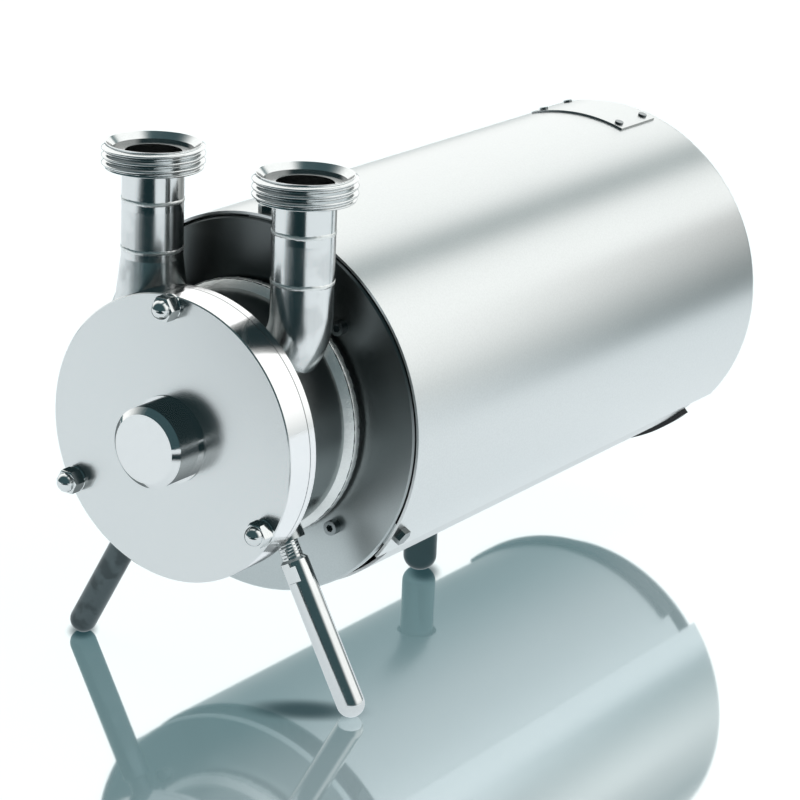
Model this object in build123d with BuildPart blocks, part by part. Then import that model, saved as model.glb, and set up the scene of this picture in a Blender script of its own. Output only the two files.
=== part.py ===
from build123d import *
import math
import os

# Sanitary self-priming pump, close coupled to a motor in a stainless shroud, on three legs.
# Millimetres. The shaft lies along Y with the pump cover at the -Y end, +X is to the right
# of someone who faces the cover, and Z is up. The origin is on the floor, below the middle
# of the overall length. A depth is a distance behind the front face of the pump cover, and
# a height is measured from the shaft.

os.makedirs("parts", exist_ok=True)

# Overall
shaft_height = 153.0
port_height = 150.0
port_spacing = 104.0
port_setback = 24.5
slip_gap = 0.3
film_gap = 0.02

# Pump cover and its hub cap
cover_thickness = 18.5
cover_land = 7.0
cover_chamfer = 0.6
hub_cap_diameter = 46.0
hub_cap_projection = 22.5
hub_cap_chamfer = 3.5
hub_cap_wall = 7.0
hub_cap_spigot_wall = 4.5
hub_cap_spigot_depth = 6.0
hub_cap_ring_width = 1.75
hub_cap_ring_thickness = 1.0

# Casing
flange_width = 11.0
flange_thickness = 5.0
drum_diameter = 142.0
drum_wall = 5.0
drum_length = 45.5
rear_wall = 9.5
rear_ring_step = 4.5
rear_ring_thickness = 5.0
plate_seat_width = 1.5
seal_chamber_diameter = 50.0
seal_housing_wall = 6.0
flush_hole_diameter = 8.0
web_thickness = 5.0
suction_boss_diameter = 51.0
suction_boss_drop = 13.0
suction_boss_cone = 8.0
suction_boss_bottom = 8.0
suction_boss_taper = 16.0
suction_boss_tip_diameter = 24.0
suction_bore_bottom = 12.0
leg_boss_diameter = 22.0
leg_boss_length = 22.0
leg_boss_standoff = 7.2
leg_boss_angle = 39.25

# Cover fasteners
stud_diameter = 8.0
stud_hole_diameter = 9.0
stud_edge_distance = 6.0
stud_count = 3
nut_across_flats = 13.0
nut_hex_height = 7.5
nut_dome_diameter = 12.0
nut_bore_depth = 9.0
washer_diameter = 14.5
washer_thickness = 1.6

# Static seals
o_ring_section = 3.0
o_ring_groove_width = 4.0
o_ring_land = 0.5

# Channel plate and side channel
plate_thickness = 6.0
plate_slot_width = 13.0
side_channel_inset = 14.0
side_channel_width = 14.0
side_channel_start = -30.0
side_channel_sweep = 230.0
suction_slot_start = 110.0
suction_slot_sweep = 90.0
discharge_slot_start = -25.0
discharge_slot_sweep = 60.0
vent_hole_diameter = 5.0
vent_hole_angle = 62.0

# Impeller
impeller_thickness = 13.0
impeller_recess = 7.7
impeller_side_gap = 0.3
impeller_rim_gap = 1.0
impeller_core_diameter = 62.0
impeller_hub_diameter = 34.0
impeller_hub_length = 20.2
vane_count = 24
vane_root_width = 2.4
vane_tip_width = 4.8
vane_root_fillet = 1.8
vane_embed = 2.0
balance_hole_diameter = 6.0
balance_hole_count = 4

# Pump shaft
impeller_seat_diameter = 20.0
shaft_thread_diameter = 14.0
shaft_thread_length = 14.0
seal_shaft_diameter = 22.0
shaft_collar_diameter = 30.0
shaft_collar_length = 4.0
coupling_diameter = 38.0
coupling_length = 40.0
coupling_nose_room = 12.0
coupling_web = 6.0
key_width = 6.0
key_height = 6.0
key_length = 14.0
key_setback = 2.0
impeller_nut_flats = 22.0
impeller_nut_height = 13.0
shaft_screw_diameter = 6.0
shaft_screw_inset = 8.0

# Shaft seal
seat_diameter = 38.0
seat_nose_diameter = 31.0
seat_length = 8.0
seat_recess = 5.0
seat_hole_diameter = 28.0
seal_ring_diameter = 30.0
seal_ring_length = 6.0
seal_bore_gap = 0.5
spring_wire = 2.0
spring_turns = 4.0

# Ports, dairy union of nominal bore 32
union_thread_diameter = 58.0
union_thread_height = 16.0
union_length = 37.0
union_lip_width = 3.0
union_cone_depth = 3.0
union_gasket_step = 2.0
union_gasket_depth = 8.0
union_underside_slope = 3.0
union_lip_chamfer = 1.0
pipe_diameter = 35.0
pipe_wall = 1.5
reducer_diameter = 41.5
elbow_radius = 38.0
elbow_rise = 1.0
elbow_straight = 13.0
elbow_angle = 60.0

# Shroud and its front disc
disc_standoff = 3.0
disc_thickness = 1.5
disc_rim_length = 4.0
disc_tab_length = 14.0
disc_edge_gap = 1.5
disc_edge_chamfer = 1.0
shroud_air_gap = 11.0
shroud_wall = 1.5
shroud_setback = 0.5
shroud_seam_angle = 39.0
shroud_rear_radius = 5.0
shroud_rear_flange = 14.0
belly_setback = 19.0
belly_rear_gap = 22.0
belly_lip_width = 9.0
trim_half_angle = 44.0
trim_rim = 3.0
trim_lip = 6.0
shroud_screw_setback = 8.0
shroud_screw_diameter = 6.0
shroud_screw_flats = 9.0
shroud_screw_head_height = 4.0
shroud_screw_length = 12.0
shroud_pad_width = 16.0
disc_screw_ring_gap = 3.25
disc_screw_diameter = 5.0
disc_screw_head_diameter = 8.5
disc_screw_head_height = 5.0
disc_screw_socket = 4.0
disc_screw_socket_depth = 2.5
disc_screw_length = 9.0
disc_screw_count = 4

# Hatch plate on the rear of the shroud
hatch_rear_margin = 10.0
hatch_length = 42.0
hatch_half_angle = 17.5
hatch_thickness = 1.2
hatch_overlap = 9.0
hatch_screw_diameter = 3.0
hatch_screw_head_diameter = 5.5
hatch_screw_head_height = 1.2
hatch_screw_length = 4.0
hatch_screw_inset = 6.0

# Rear grille
grille_edge_gap = 0.5
grille_thickness = 1.5
grille_slot_width = 7.0
grille_slot_pitch = 13.0
grille_slot_rows = 4
grille_first_radius = 24.0
grille_spokes = 4
grille_spoke_width = 12.0
grille_screw_inset = 4.0
grille_screw_diameter = 4.0
grille_screw_head_diameter = 7.0
grille_screw_length = 3.5
grille_screw_count = 3
grommet_diameter = 22.0
grommet_neck_diameter = 16.0
grommet_bore_diameter = 10.0
grommet_lip_thickness = 1.5
grommet_inset = 23.0
grommet_angle = 225.0

# Motor adapter
adapter_length = 66.0
adapter_spigot_step = 3.5
adapter_plate_margin = 9.0
adapter_plate_thickness = 10.0
adapter_bore_step = 1.0
adapter_bell_wall = 8.0
adapter_window_width = 60.0
adapter_window_margin = 6.0
adapter_window_count = 4
adapter_shaft_hole_diameter = 60.0
adapter_flange_thickness = 10.0
casing_screw_inset = 12.0
casing_screw_diameter = 8.0
casing_screw_head_diameter = 13.0
casing_screw_engagement = 8.0
casing_screw_count = 4

# Motor, frame size 80 with a flange on a bolt circle of 165
motor_spigot_diameter = 130.0
motor_spigot_height = 3.5
motor_flange_thickness = 12.0
flange_bolt_inset = 17.5
flange_bolt_margin = 17.5
flange_bolt_diameter = 10.0
flange_bolt_flats = 16.0
flange_bolt_head_height = 6.4
flange_bolt_count = 4
shield_rim_length = 8.0
shield_wall = 9.0
shield_register_length = 4.0
shield_register_wall = 4.0
bearing_housing_wall = 8.5
frame_body_step = 2.0
frame_wall = 6.0
frame_fin_height = 12.0
frame_fin_width = 2.5
frame_fin_count = 36
frame_fin_setback = 4.0
frame_lug_diameter = 14.0
frame_pad_rise = 3.0
foot_pad_width = 56.0
foot_pad_length = 70.0
top_pad_width = 44.0
top_pad_length = 50.0
core_length = 105.0
core_setback = 24.0
core_rear_room = 31.0
stator_bore_diameter = 70.0
winding_length = 19.0
winding_frame_gap = 5.0
winding_bore_step = 3.0
winding_chamfer = 4.0
air_gap = 0.4
end_ring_length = 8.0
end_ring_width = 10.0
core_shaft_diameter = 26.0
motor_shaft_diameter = 19.0
motor_shaft_extension = 40.0
shaft_hole_diameter = 24.0

# Rolling bearings
bearing_bore_diameter = 20.0
bearing_diameter = 47.0
bearing_width = 14.0
bearing_ring_wall = 4.2
ball_diameter = 7.9
ball_count = 8
ball_gap = 0.05
cage_width = 11.0
cage_wall = 1.6

# Rear shield, fan and cowl
rear_shield_depth = 14.0
tie_bolt_diameter = 6.0
tie_bolt_offset = 3.0
tie_bolt_head_diameter = 10.0
tie_bolt_head_height = 6.0
tie_bolt_engagement = 16.0
tie_bolt_count = 4
fan_shaft_diameter = 16.0
fan_inset = 19.0
fan_hub_diameter = 30.0
fan_gap = 9.0
fan_width = 20.0
fan_disc_thickness = 2.5
fan_blade_thickness = 2.5
fan_blade_count = 6
cowl_step = 2.0
cowl_wall = 1.2
cowl_length = 72.0
cowl_overlap = 12.0
cowl_slot_width = 6.0
cowl_slot_rows = 3
cowl_slot_pitch = 15.0
cowl_first_radius = 28.0
cowl_spokes = 4
cowl_spoke_width = 10.0

# Terminal box under the hatch
box_width = 76.0
box_length = 52.0
box_height = 34.0
box_wall = 3.0
box_headroom = 13.0
box_cowl_gap = 5.0
box_rear_gap = 12.0
box_corner_radius = 6.0
box_lid_thickness = 4.0
bracket_width = 40.0
bracket_thickness = 2.0
bracket_overlap = 36.0
bracket_drop = 18.0
gland_diameter = 18.0
gland_bore_diameter = 10.0
gland_length = 18.0
gland_thread_diameter = 16.0
gland_thread_length = 8.0
gland_flats = 20.0
gland_hex_length = 7.0

# Legs
leg_stud_diameter = 12.0
leg_bore_spare = 1.0
leg_top_chamfer = 1.5
front_leg_diameter = 16.0
front_leg_neck = 10.0
front_leg_engagement = 18.0
front_leg_tilt = 29.0
front_leg_setback = 20.5
foot_flat_depth = 0.4
leg_flats = 13.0
leg_flats_length = 9.0
leg_flats_setback = 4.0
rear_leg_diameter = 21.0
rear_leg_setback = 97.0
rear_leg_neck = 5.0
rear_leg_engagement = 18.0
rear_foot_flat_diameter = 8.0
rear_foot_dome_height = 9.0
rear_leg_hole_gap = 2.0
pad_width = 44.0
pad_length = 60.0
pad_thickness = 18.0
pad_corner_radius = 6.0
pad_screw_diameter = 6.0
pad_screw_head_diameter = 10.0
pad_screw_head_height = 6.0
pad_screw_engagement = 10.0
pad_screw_spacing_x = 30.0
pad_screw_spacing_y = 44.0

# Places worked out from the sizes above: the pump end
flange_rear = cover_thickness + flange_thickness
port_depth = flange_rear + port_setback
drum_end_depth = flange_rear + drum_length
casing_rear = drum_end_depth + rear_ring_thickness
rear_wall_depth = casing_rear - rear_wall
drum_radius = drum_diameter / 2
rear_ring_radius = drum_radius + rear_ring_step
cover_radius = drum_radius + flange_width
stud_circle_radius = cover_radius - stud_edge_distance
plate_bore_radius = drum_radius - drum_wall
chamber_radius = plate_bore_radius - plate_seat_width
recess_radius = plate_bore_radius - cover_land
impeller_radius = recess_radius - impeller_rim_gap
side_channel_radius = impeller_radius - side_channel_inset
impeller_depth = cover_thickness - impeller_recess
impeller_rear = impeller_depth + impeller_thickness
hub_rear = impeller_depth + impeller_hub_length
plate_front = impeller_rear + impeller_side_gap
plate_rear = plate_front + plate_thickness
recess_depth = impeller_depth - impeller_side_gap
cap_cavity_radius = hub_cap_diameter / 2 - hub_cap_wall
cap_spigot_radius = cap_cavity_radius + hub_cap_spigot_wall
o_ring_radius = plate_bore_radius + o_ring_land + o_ring_groove_width / 2
seal_chamber_radius = seal_chamber_diameter / 2
seal_housing_radius = seal_chamber_radius + seal_housing_wall
seat_rear = rear_wall_depth + seat_recess
seat_front = seat_rear - seat_length
seat_groove_front = rear_wall_depth + (seat_recess - o_ring_section) / 2
seal_ring_rear = seat_front - film_gap
seal_ring_front = seal_ring_rear - seal_ring_length
collar_rear = hub_rear + shaft_collar_length
spring_radius = seal_shaft_diameter / 2 + slip_gap + spring_wire / 2
port_offset = port_spacing / 2
pipe_radius = pipe_diameter / 2
port_bore_radius = pipe_radius - pipe_wall
pipe_top = port_height - union_length
elbow_top = drum_radius + elbow_rise
pipe_bottom = elbow_top + elbow_straight
suction_boss_top = drum_radius - suction_boss_drop
suction_boss_shoulder = suction_boss_top - suction_boss_cone

# The motor, its adapter and its shroud
motor_face_depth = casing_rear + adapter_length
motor_spigot_front = motor_face_depth - motor_spigot_height
shaft_nose_depth = motor_face_depth - motor_shaft_extension
coupling_depth = shaft_nose_depth - coupling_nose_room
coupling_rear = coupling_depth + coupling_length
motor_spigot_radius = motor_spigot_diameter / 2
flange_bolt_radius = motor_spigot_radius + flange_bolt_inset
motor_flange_radius = flange_bolt_radius + flange_bolt_margin
adapter_bore_radius = motor_spigot_radius - adapter_bore_step
adapter_bell_radius = adapter_bore_radius + adapter_bell_wall
adapter_flange_front = motor_face_depth - adapter_flange_thickness
adapter_spigot_radius = rear_ring_radius - adapter_spigot_step
casing_screw_radius = adapter_bore_radius - casing_screw_inset
disc_screw_radius = rear_ring_radius + disc_screw_ring_gap + disc_screw_head_diameter / 2
adapter_plate_radius = disc_screw_radius + adapter_plate_margin
disc_depth = casing_rear + disc_standoff
disc_rear = disc_depth + disc_thickness
plate_end = disc_rear + adapter_plate_thickness
flange_end = motor_face_depth + motor_flange_thickness
frame_front = flange_end + shield_rim_length
frame_rear = frame_front + core_setback + core_length + core_rear_room
frame_body_radius = motor_spigot_radius + frame_body_step
frame_bore_radius = frame_body_radius - frame_wall
frame_fin_radius = frame_body_radius + frame_fin_height
frame_pad_height = frame_fin_radius + frame_pad_rise
register_inner_radius = frame_bore_radius - shield_register_wall
bearing_depths = (frame_front - bearing_width, frame_rear)
bearing_radius = bearing_diameter / 2
bearing_housing_radius = bearing_radius + bearing_housing_wall
ball_circle_radius = (bearing_bore_diameter + bearing_diameter) / 4
core_front = frame_front + core_setback
core_rear = core_front + core_length
rotor_radius = stator_bore_diameter / 2 - air_gap
winding_outer_radius = frame_bore_radius - winding_frame_gap
winding_inner_radius = stator_bore_diameter / 2 + winding_bore_step
tie_bolt_radius = frame_body_radius + tie_bolt_offset
rear_shield_mid = frame_rear + rear_shield_depth
rear_shield_end = rear_shield_mid + shield_wall
cowl_radius = frame_fin_radius + cowl_step
cowl_inner_radius = cowl_radius - cowl_wall
cowl_front = rear_shield_end - cowl_overlap
cowl_end = cowl_front + cowl_length
fan_radius = cowl_radius - fan_inset
fan_front = rear_shield_end + fan_gap
fan_end = fan_front + fan_width
shroud_inner_radius = motor_flange_radius + shroud_air_gap
shroud_radius = shroud_inner_radius + shroud_wall
box_top = shroud_inner_radius - box_headroom
box_bottom = box_top - box_height
box_depth = cowl_end + box_cowl_gap
box_middle = box_depth + box_length / 2
shroud_front = disc_depth + shroud_setback
shroud_rear = box_depth + box_length + box_rear_gap
shroud_sweep = 180 + 2 * shroud_seam_angle
shroud_pad_angle = math.degrees(shroud_pad_width / shroud_inner_radius)
shroud_screw_depth = disc_depth + shroud_screw_setback
disc_radius = shroud_inner_radius - disc_edge_gap
belly_inner_radius = shroud_inner_radius - shroud_wall
belly_rear = shroud_rear - belly_rear_gap
belly_lip_angle = math.degrees(belly_lip_width / shroud_inner_radius)
belly_half_angle = 90 - shroud_seam_angle + belly_lip_angle
hatch_depth = shroud_rear - hatch_rear_margin - hatch_length
hatch_radius = shroud_radius + hatch_thickness
hatch_half_width = shroud_radius * math.sin(math.radians(hatch_half_angle))
hatch_screw_angle = hatch_half_angle - math.degrees(hatch_screw_inset / shroud_radius)
grille_rear = shroud_rear - shroud_wall
grille_front = grille_rear - grille_thickness
grille_radius = shroud_radius - shroud_rear_radius - grille_edge_gap
grille_screw_radius = grille_radius - grille_screw_inset
overall_length = hub_cap_projection + shroud_rear
cover_face_y = hub_cap_projection - overall_length / 2
top_angle = 90.0
bottom_angle = 270.0

# The legs: the front ones run from their bosses on the drum down to the floor
foot_radius = front_leg_diameter / 2
front_leg_depth = flange_rear + front_leg_setback
leg_lean = math.radians(front_leg_tilt)
leg_boss_radius = drum_radius + leg_boss_standoff
leg_boss_drop = leg_boss_radius * math.cos(math.radians(leg_boss_angle))
leg_boss_offset = leg_boss_radius * math.sin(math.radians(leg_boss_angle))
foot_ball_height = foot_radius - foot_flat_depth
leg_boss_face = (shaft_height - leg_boss_drop - foot_ball_height) / math.cos(leg_lean)
front_leg_length = leg_boss_face - front_leg_neck
front_foot_offset = leg_boss_offset + leg_boss_face * math.sin(leg_lean)
rear_leg_depth = frame_front + rear_leg_setback
pad_bottom = -frame_pad_height - pad_thickness
rear_leg_length = shaft_height + pad_bottom - rear_leg_neck

# The section through the shaft: depth along it, then radius upwards
shaft_section = Plane(
    origin=(0, cover_face_y, shaft_height), x_dir=(0, 1, 0), z_dir=(1, 0, 0)
)
shaft_axis = Axis(shaft_section.origin, shaft_section.x_dir)


def facing(depth):
    """The plane across the shaft at a depth, seen from the front: X right, Z up."""
    return Plane(
        origin=(0, cover_face_y + depth, shaft_height), x_dir=(1, 0, 0), z_dir=(0, -1, 0)
    )


def level(height, x, depth):
    """A horizontal plane at a height above the shaft, over a point of the plan."""
    return Plane(origin=(x, cover_face_y + depth, shaft_height + height))


def outward(angle, depth, radius):
    """The plane that faces away from the shaft at an angle from +X, with depth along x."""
    lean = math.radians(angle)
    return Plane(
        origin=(
            radius * math.cos(lean),
            cover_face_y + depth,
            shaft_height + radius * math.sin(lean),
        ),
        x_dir=(0, 1, 0),
        z_dir=(math.cos(lean), 0, math.sin(lean)),
    )


def section_at(angle):
    """The section through the shaft at an angle from +X: depth, then radius."""
    lean = math.radians(angle)
    return Plane(
        origin=(0, cover_face_y, shaft_height),
        x_dir=(0, 1, 0),
        z_dir=(math.sin(lean), 0, -math.cos(lean)),
    )


def beside(radius, angle):
    """The section through an axis that runs beside the shaft: depth, then its radius."""
    lean = math.radians(angle)
    return Plane(
        origin=(
            radius * math.cos(lean),
            cover_face_y,
            shaft_height + radius * math.sin(lean),
        ),
        x_dir=(0, 1, 0),
        z_dir=(1, 0, 0),
    )


def spoke(angle, depth):
    """The section through a radial axis at a depth: distance from the shaft, radius."""
    lean = math.radians(angle)
    return Plane(
        origin=(0, cover_face_y + depth, shaft_height),
        x_dir=(math.cos(lean), 0, math.sin(lean)),
        z_dir=(0, 1, 0),
    )


def upright(x, depth):
    """The section through an upright axis: height above the shaft, then radius."""
    return Plane(
        origin=(x, cover_face_y + depth, shaft_height), x_dir=(0, 0, 1), z_dir=(0, 1, 0)
    )


def leg_section(side):
    """The section through a front leg: distance up the leg from its foot ball, radius."""
    return Plane(
        origin=(
            side * front_foot_offset,
            cover_face_y + front_leg_depth,
            foot_ball_height,
        ),
        x_dir=(-side * math.sin(leg_lean), 0, math.cos(leg_lean)),
        z_dir=(0, 1, 0),
    )


def ring_of(radius, count, first_angle):
    """The sections through axes beside the shaft, evenly spaced on a circle."""
    return [beside(radius, first_angle + 360 * step / count) for step in range(count)]


def turned(outline, section=shaft_section, mode=Mode.ADD):
    """Turns a closed outline of (along the axis, radius) points about a section's axis."""
    with BuildSketch(section) as profile:
        with BuildLine():
            Polyline(*outline, close=True)
        make_face()
    revolve(profile.sketch, axis=Axis(section.origin, section.x_dir), mode=mode)


def tube(start, end, outer, inner, section=shaft_section, mode=Mode.ADD):
    """A straight tube, or a rod where the inner radius is 0, about a section's axis."""
    turned([(start, inner), (end, inner), (end, outer), (start, outer)], section, mode)


def bore(start, end, radius, section=shaft_section):
    """Cuts a round hole about a section's axis."""
    tube(start, end, radius, 0, section, Mode.SUBTRACT)


def prism(start, end, across_flats, section, mode=Mode.ADD):
    """A hexagonal prism along a section's axis."""
    base = Plane(
        origin=section.from_local_coords(Vector(start, 0, 0)),
        x_dir=section.z_dir,
        z_dir=section.x_dir,
    )
    with BuildSketch(base) as hexagon:
        RegularPolygon(across_flats / 2, 6, major_radius=False)
    extrude(hexagon.sketch, amount=end - start, mode=mode)


def shell(start, end, outer, inner, first_angle, arc):
    """A curved strip about the shaft between two depths."""
    with BuildSketch(facing(start)) as strip:
        with BuildLine():
            outside = CenterArc((0, 0), outer, first_angle, arc)
            inside = CenterArc((0, 0), inner, first_angle, arc)
            Line(outside @ 0, inside @ 0)
            Line(outside @ 1, inside @ 1)
        make_face()
    extrude(strip.sketch, amount=start - end)


def window(angle, depth, length, width, inner, outer, corner_radius):
    """Cuts a rounded window through a wall about the shaft, from one radius to another."""
    with BuildSketch(outward(angle, depth, inner)) as opening:
        RectangleRounded(length, width, corner_radius)
    extrude(opening.sketch, amount=outer - inner, mode=Mode.SUBTRACT)


def slotted(front, thickness, first_radius, pitch, rows, width, spokes, spoke_width):
    """Cuts rows of arc slots through a plate, with solid spokes between them."""
    for row in range(rows):
        radius = first_radius + row * pitch
        arc = 360 / spokes - math.degrees((spoke_width + width) / radius)
        slot_line = CenterArc((0, 0), radius, 0, arc, mode=Mode.PRIVATE)
        with BuildSketch(facing(front)) as slots:
            with PolarLocations(0, spokes, start_angle=-arc / 2):
                SlotArc(slot_line, width)
        extrude(slots.sketch, amount=-thickness, mode=Mode.SUBTRACT)


# Pump cover: a thick flat disc with the front of the impeller chamber, the side channel,
# the seat of the hub cap and the groove of the cover seal in it
stud_sections = ring_of(stud_circle_radius, stud_count, top_angle)
with BuildPart() as front_cover:
    turned(
        [
            (0, 0),
            (0, cover_radius - cover_chamfer),
            (cover_chamfer, cover_radius),
            (cover_thickness, cover_radius),
            (cover_thickness, recess_radius),
            (recess_depth, recess_radius),
            (recess_depth, 0),
        ]
    )
    bore(0, recess_depth, cap_cavity_radius)
    bore(0, hub_cap_spigot_depth, cap_spigot_radius)
    tube(
        cover_thickness - o_ring_section,
        cover_thickness,
        o_ring_radius + o_ring_groove_width / 2,
        o_ring_radius - o_ring_groove_width / 2,
        mode=Mode.SUBTRACT,
    )
    for stud_section in stud_sections:
        bore(0, cover_thickness, stud_hole_diameter / 2, stud_section)
    with BuildSketch(section_at(side_channel_start + side_channel_sweep)):
        with Locations((recess_depth, side_channel_radius)):
            Circle(side_channel_width / 2)
    revolve(axis=shaft_axis, revolution_arc=side_channel_sweep, mode=Mode.SUBTRACT)
    with Locations(facing(recess_depth)):
        with PolarLocations(
            side_channel_radius,
            2,
            start_angle=side_channel_start,
            angular_range=side_channel_sweep,
            endpoint=True,
        ):
            Sphere(side_channel_width / 2, mode=Mode.SUBTRACT)
front_cover.part.label = "front_cover"
export_step(front_cover.part, "parts/front_cover.step")

# Hub cap: a turned cup that houses the impeller nut and centres in the cover
with BuildPart() as hub_cap:
    cap_radius = hub_cap_diameter / 2
    turned(
        [
            (-hub_cap_projection, 0),
            (-hub_cap_projection, cap_radius - hub_cap_chamfer),
            (hub_cap_chamfer - hub_cap_projection, cap_radius),
            (-hub_cap_ring_thickness, cap_radius),
            (-hub_cap_ring_thickness, cap_radius + hub_cap_ring_width),
            (0, cap_radius + hub_cap_ring_width),
            (0, cap_spigot_radius),
            (hub_cap_spigot_depth, cap_spigot_radius),
            (hub_cap_spigot_depth, cap_cavity_radius),
            (hub_cap_wall - hub_cap_projection, cap_cavity_radius),
            (hub_cap_wall - hub_cap_projection, 0),
        ]
    )
hub_cap.part.label = "hub_cap"
export_step(hub_cap.part, "parts/hub_cap.step")

with BuildPart() as cover_o_ring:
    with BuildSketch(shaft_section):
        with Locations((cover_thickness - o_ring_section / 2, o_ring_radius)):
            Circle(o_ring_section / 2)
    revolve(axis=shaft_axis)
cover_o_ring.part.label = "cover_o_ring"
export_step(cover_o_ring.part, "parts/cover_o_ring.step")

# Studs, washers and cap nuts that hold the cover
stud_front = -washer_thickness - nut_bore_depth
with BuildPart() as cover_studs:
    for stud_section in stud_sections:
        tube(stud_front, flange_rear, stud_diameter / 2, 0, stud_section)
cover_studs.part.label = "cover_studs"
export_step(cover_studs.part, "parts/cover_studs.step")

with BuildPart() as cover_washers:
    for stud_section in stud_sections:
        tube(-washer_thickness, 0, washer_diameter / 2, stud_diameter / 2, stud_section)
cover_washers.part.label = "cover_washers"
export_step(cover_washers.part, "parts/cover_washers.step")

with BuildPart() as cap_nuts:
    hex_front = -washer_thickness - nut_hex_height
    for stud_section in stud_sections:
        prism(hex_front, -washer_thickness, nut_across_flats, stud_section)
        with Locations(stud_section.from_local_coords(Vector(hex_front, 0, 0))):
            Sphere(nut_dome_diameter / 2)
        bore(stud_front, -washer_thickness, stud_diameter / 2, stud_section)
cap_nuts.part.label = "cap_nuts"
export_step(cap_nuts.part, "parts/cap_nuts.step")

# Casing: flange, drum and rear ring, a boss for the suction pipe, two bosses for the front
# legs, and inside it the web between suction and discharge and the seal chamber
suction_axis = upright(-port_offset, port_depth)
discharge_axis = upright(port_offset, port_depth)
elbow_centre = level(elbow_top, port_offset - elbow_radius, port_depth)
elbow_axis = Axis(elbow_centre.origin, (0, 1, 0))
with BuildPart() as pump_casing:
    turned(
        [
            (cover_thickness, plate_bore_radius),
            (cover_thickness, cover_radius),
            (flange_rear, cover_radius),
            (flange_rear, drum_radius),
            (drum_end_depth, drum_radius),
            (drum_end_depth, rear_ring_radius),
            (casing_rear, rear_ring_radius),
            (casing_rear, chamber_radius),
            (plate_rear, chamber_radius),
            (plate_rear, plate_bore_radius),
        ]
    )
    turned(
        [
            (suction_boss_top, 0),
            (suction_boss_top, reducer_diameter / 2),
            (suction_boss_shoulder, suction_boss_diameter / 2),
            (suction_boss_bottom, suction_boss_diameter / 2),
            (suction_boss_bottom - suction_boss_taper, suction_boss_tip_diameter / 2),
            (suction_boss_bottom - suction_boss_taper, 0),
        ],
        suction_axis,
    )
    bore(cover_thickness, plate_rear, plate_bore_radius)
    bore(plate_rear, casing_rear, chamber_radius)
    bore(suction_bore_bottom, pipe_bottom, port_bore_radius, suction_axis)
    with BuildSketch(level(elbow_top, port_offset, port_depth)):
        Circle(pipe_radius)
    revolve(axis=elbow_axis, revolution_arc=elbow_angle, mode=Mode.SUBTRACT)
    tube(rear_wall_depth, casing_rear, chamber_radius, 0)
    with BuildSketch(facing(plate_rear)):
        Rectangle(web_thickness, 2 * chamber_radius)
        Circle(seal_housing_radius)
    extrude(amount=plate_rear - rear_wall_depth)
    bore(plate_rear, rear_wall_depth, seal_chamber_radius)
    bore(rear_wall_depth, seat_rear, seat_diameter / 2)
    bore(seat_rear, casing_rear, seat_hole_diameter / 2)
    bore(
        seal_chamber_radius - seal_housing_wall,
        seal_housing_radius + seal_housing_wall,
        flush_hole_diameter / 2,
        spoke(180, (plate_rear + rear_wall_depth) / 2),
    )
    for side in (-1, 1):
        leg_boss_end = leg_boss_face + leg_boss_length
        leg_bore_end = leg_boss_face + front_leg_engagement + leg_bore_spare
        tube(leg_boss_face, leg_boss_end, leg_boss_diameter / 2, 0, leg_section(side))
        bore(leg_boss_face, leg_bore_end, leg_stud_diameter / 2, leg_section(side))
    for stud_section in stud_sections:
        bore(cover_thickness, flange_rear, stud_diameter / 2, stud_section)
    for screw_section in ring_of(casing_screw_radius, casing_screw_count, 45):
        screw_end = casing_rear - casing_screw_engagement
        bore(screw_end, casing_rear, casing_screw_diameter / 2, screw_section)
pump_casing.part.label = "pump_casing"
export_step(pump_casing.part, "parts/pump_casing.step")

# Channel plate behind the impeller, with a kidney port to each side of the casing
with BuildPart() as port_plate:
    port_lines = [
        CenterArc((0, 0), side_channel_radius, slot_start, slot_sweep, mode=Mode.PRIVATE)
        for slot_start, slot_sweep in (
            (suction_slot_start, suction_slot_sweep),
            (discharge_slot_start, discharge_slot_sweep),
        )
    ]
    with BuildSketch(facing(plate_front)):
        Circle(plate_bore_radius)
        Circle(impeller_hub_diameter / 2 + slip_gap, mode=Mode.SUBTRACT)
        for port_line in port_lines:
            SlotArc(port_line, plate_slot_width, mode=Mode.SUBTRACT)
        with PolarLocations(side_channel_radius, 1, start_angle=vent_hole_angle):
            Circle(vent_hole_diameter / 2, mode=Mode.SUBTRACT)
    extrude(amount=-plate_thickness)
port_plate.part.label = "port_plate"
export_step(port_plate.part, "parts/port_plate.step")

# Star impeller: straight vanes that widen towards the rim, with filleted roots, on a core
# with a hub that reaches back through the channel plate
with BuildPart() as impeller:
    core_radius = impeller_core_diameter / 2
    with BuildSketch(facing(impeller_depth)) as star:
        Circle(core_radius)
        with PolarLocations(0, vane_count):
            Polygon(
                (core_radius - vane_embed, -vane_root_width / 2),
                (impeller_radius, -vane_tip_width / 2),
                (impeller_radius, vane_tip_width / 2),
                (core_radius - vane_embed, vane_root_width / 2),
                align=None,
            )
        roots = [
            corner
            for corner in star.vertices()
            if math.hypot(corner.X, corner.Y) < core_radius + slip_gap
        ]
        fillet(roots, vane_root_fillet)
        Circle(impeller_radius, mode=Mode.INTERSECT)
    extrude(amount=-impeller_thickness)
    tube(impeller_rear, hub_rear, impeller_hub_diameter / 2, 0)
    bore(impeller_depth, hub_rear, impeller_seat_diameter / 2)
    with BuildSketch(facing(impeller_depth)):
        with Locations((0, impeller_seat_diameter / 2)):
            Rectangle(key_width, key_height)
        hole_circle_radius = (impeller_hub_diameter / 2 + core_radius) / 2
        with PolarLocations(hole_circle_radius, balance_hole_count):
            Circle(balance_hole_diameter / 2)
    extrude(amount=-impeller_hub_length, mode=Mode.SUBTRACT)
impeller.part.label = "impeller"
export_step(impeller.part, "parts/impeller.step")

with BuildPart() as impeller_key:
    with BuildSketch(facing(impeller_depth + key_setback)):
        with Locations((0, impeller_seat_diameter / 2)):
            Rectangle(key_width, key_height)
    extrude(amount=-key_length)
impeller_key.part.label = "impeller_key"
export_step(impeller_key.part, "parts/impeller_key.step")

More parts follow.
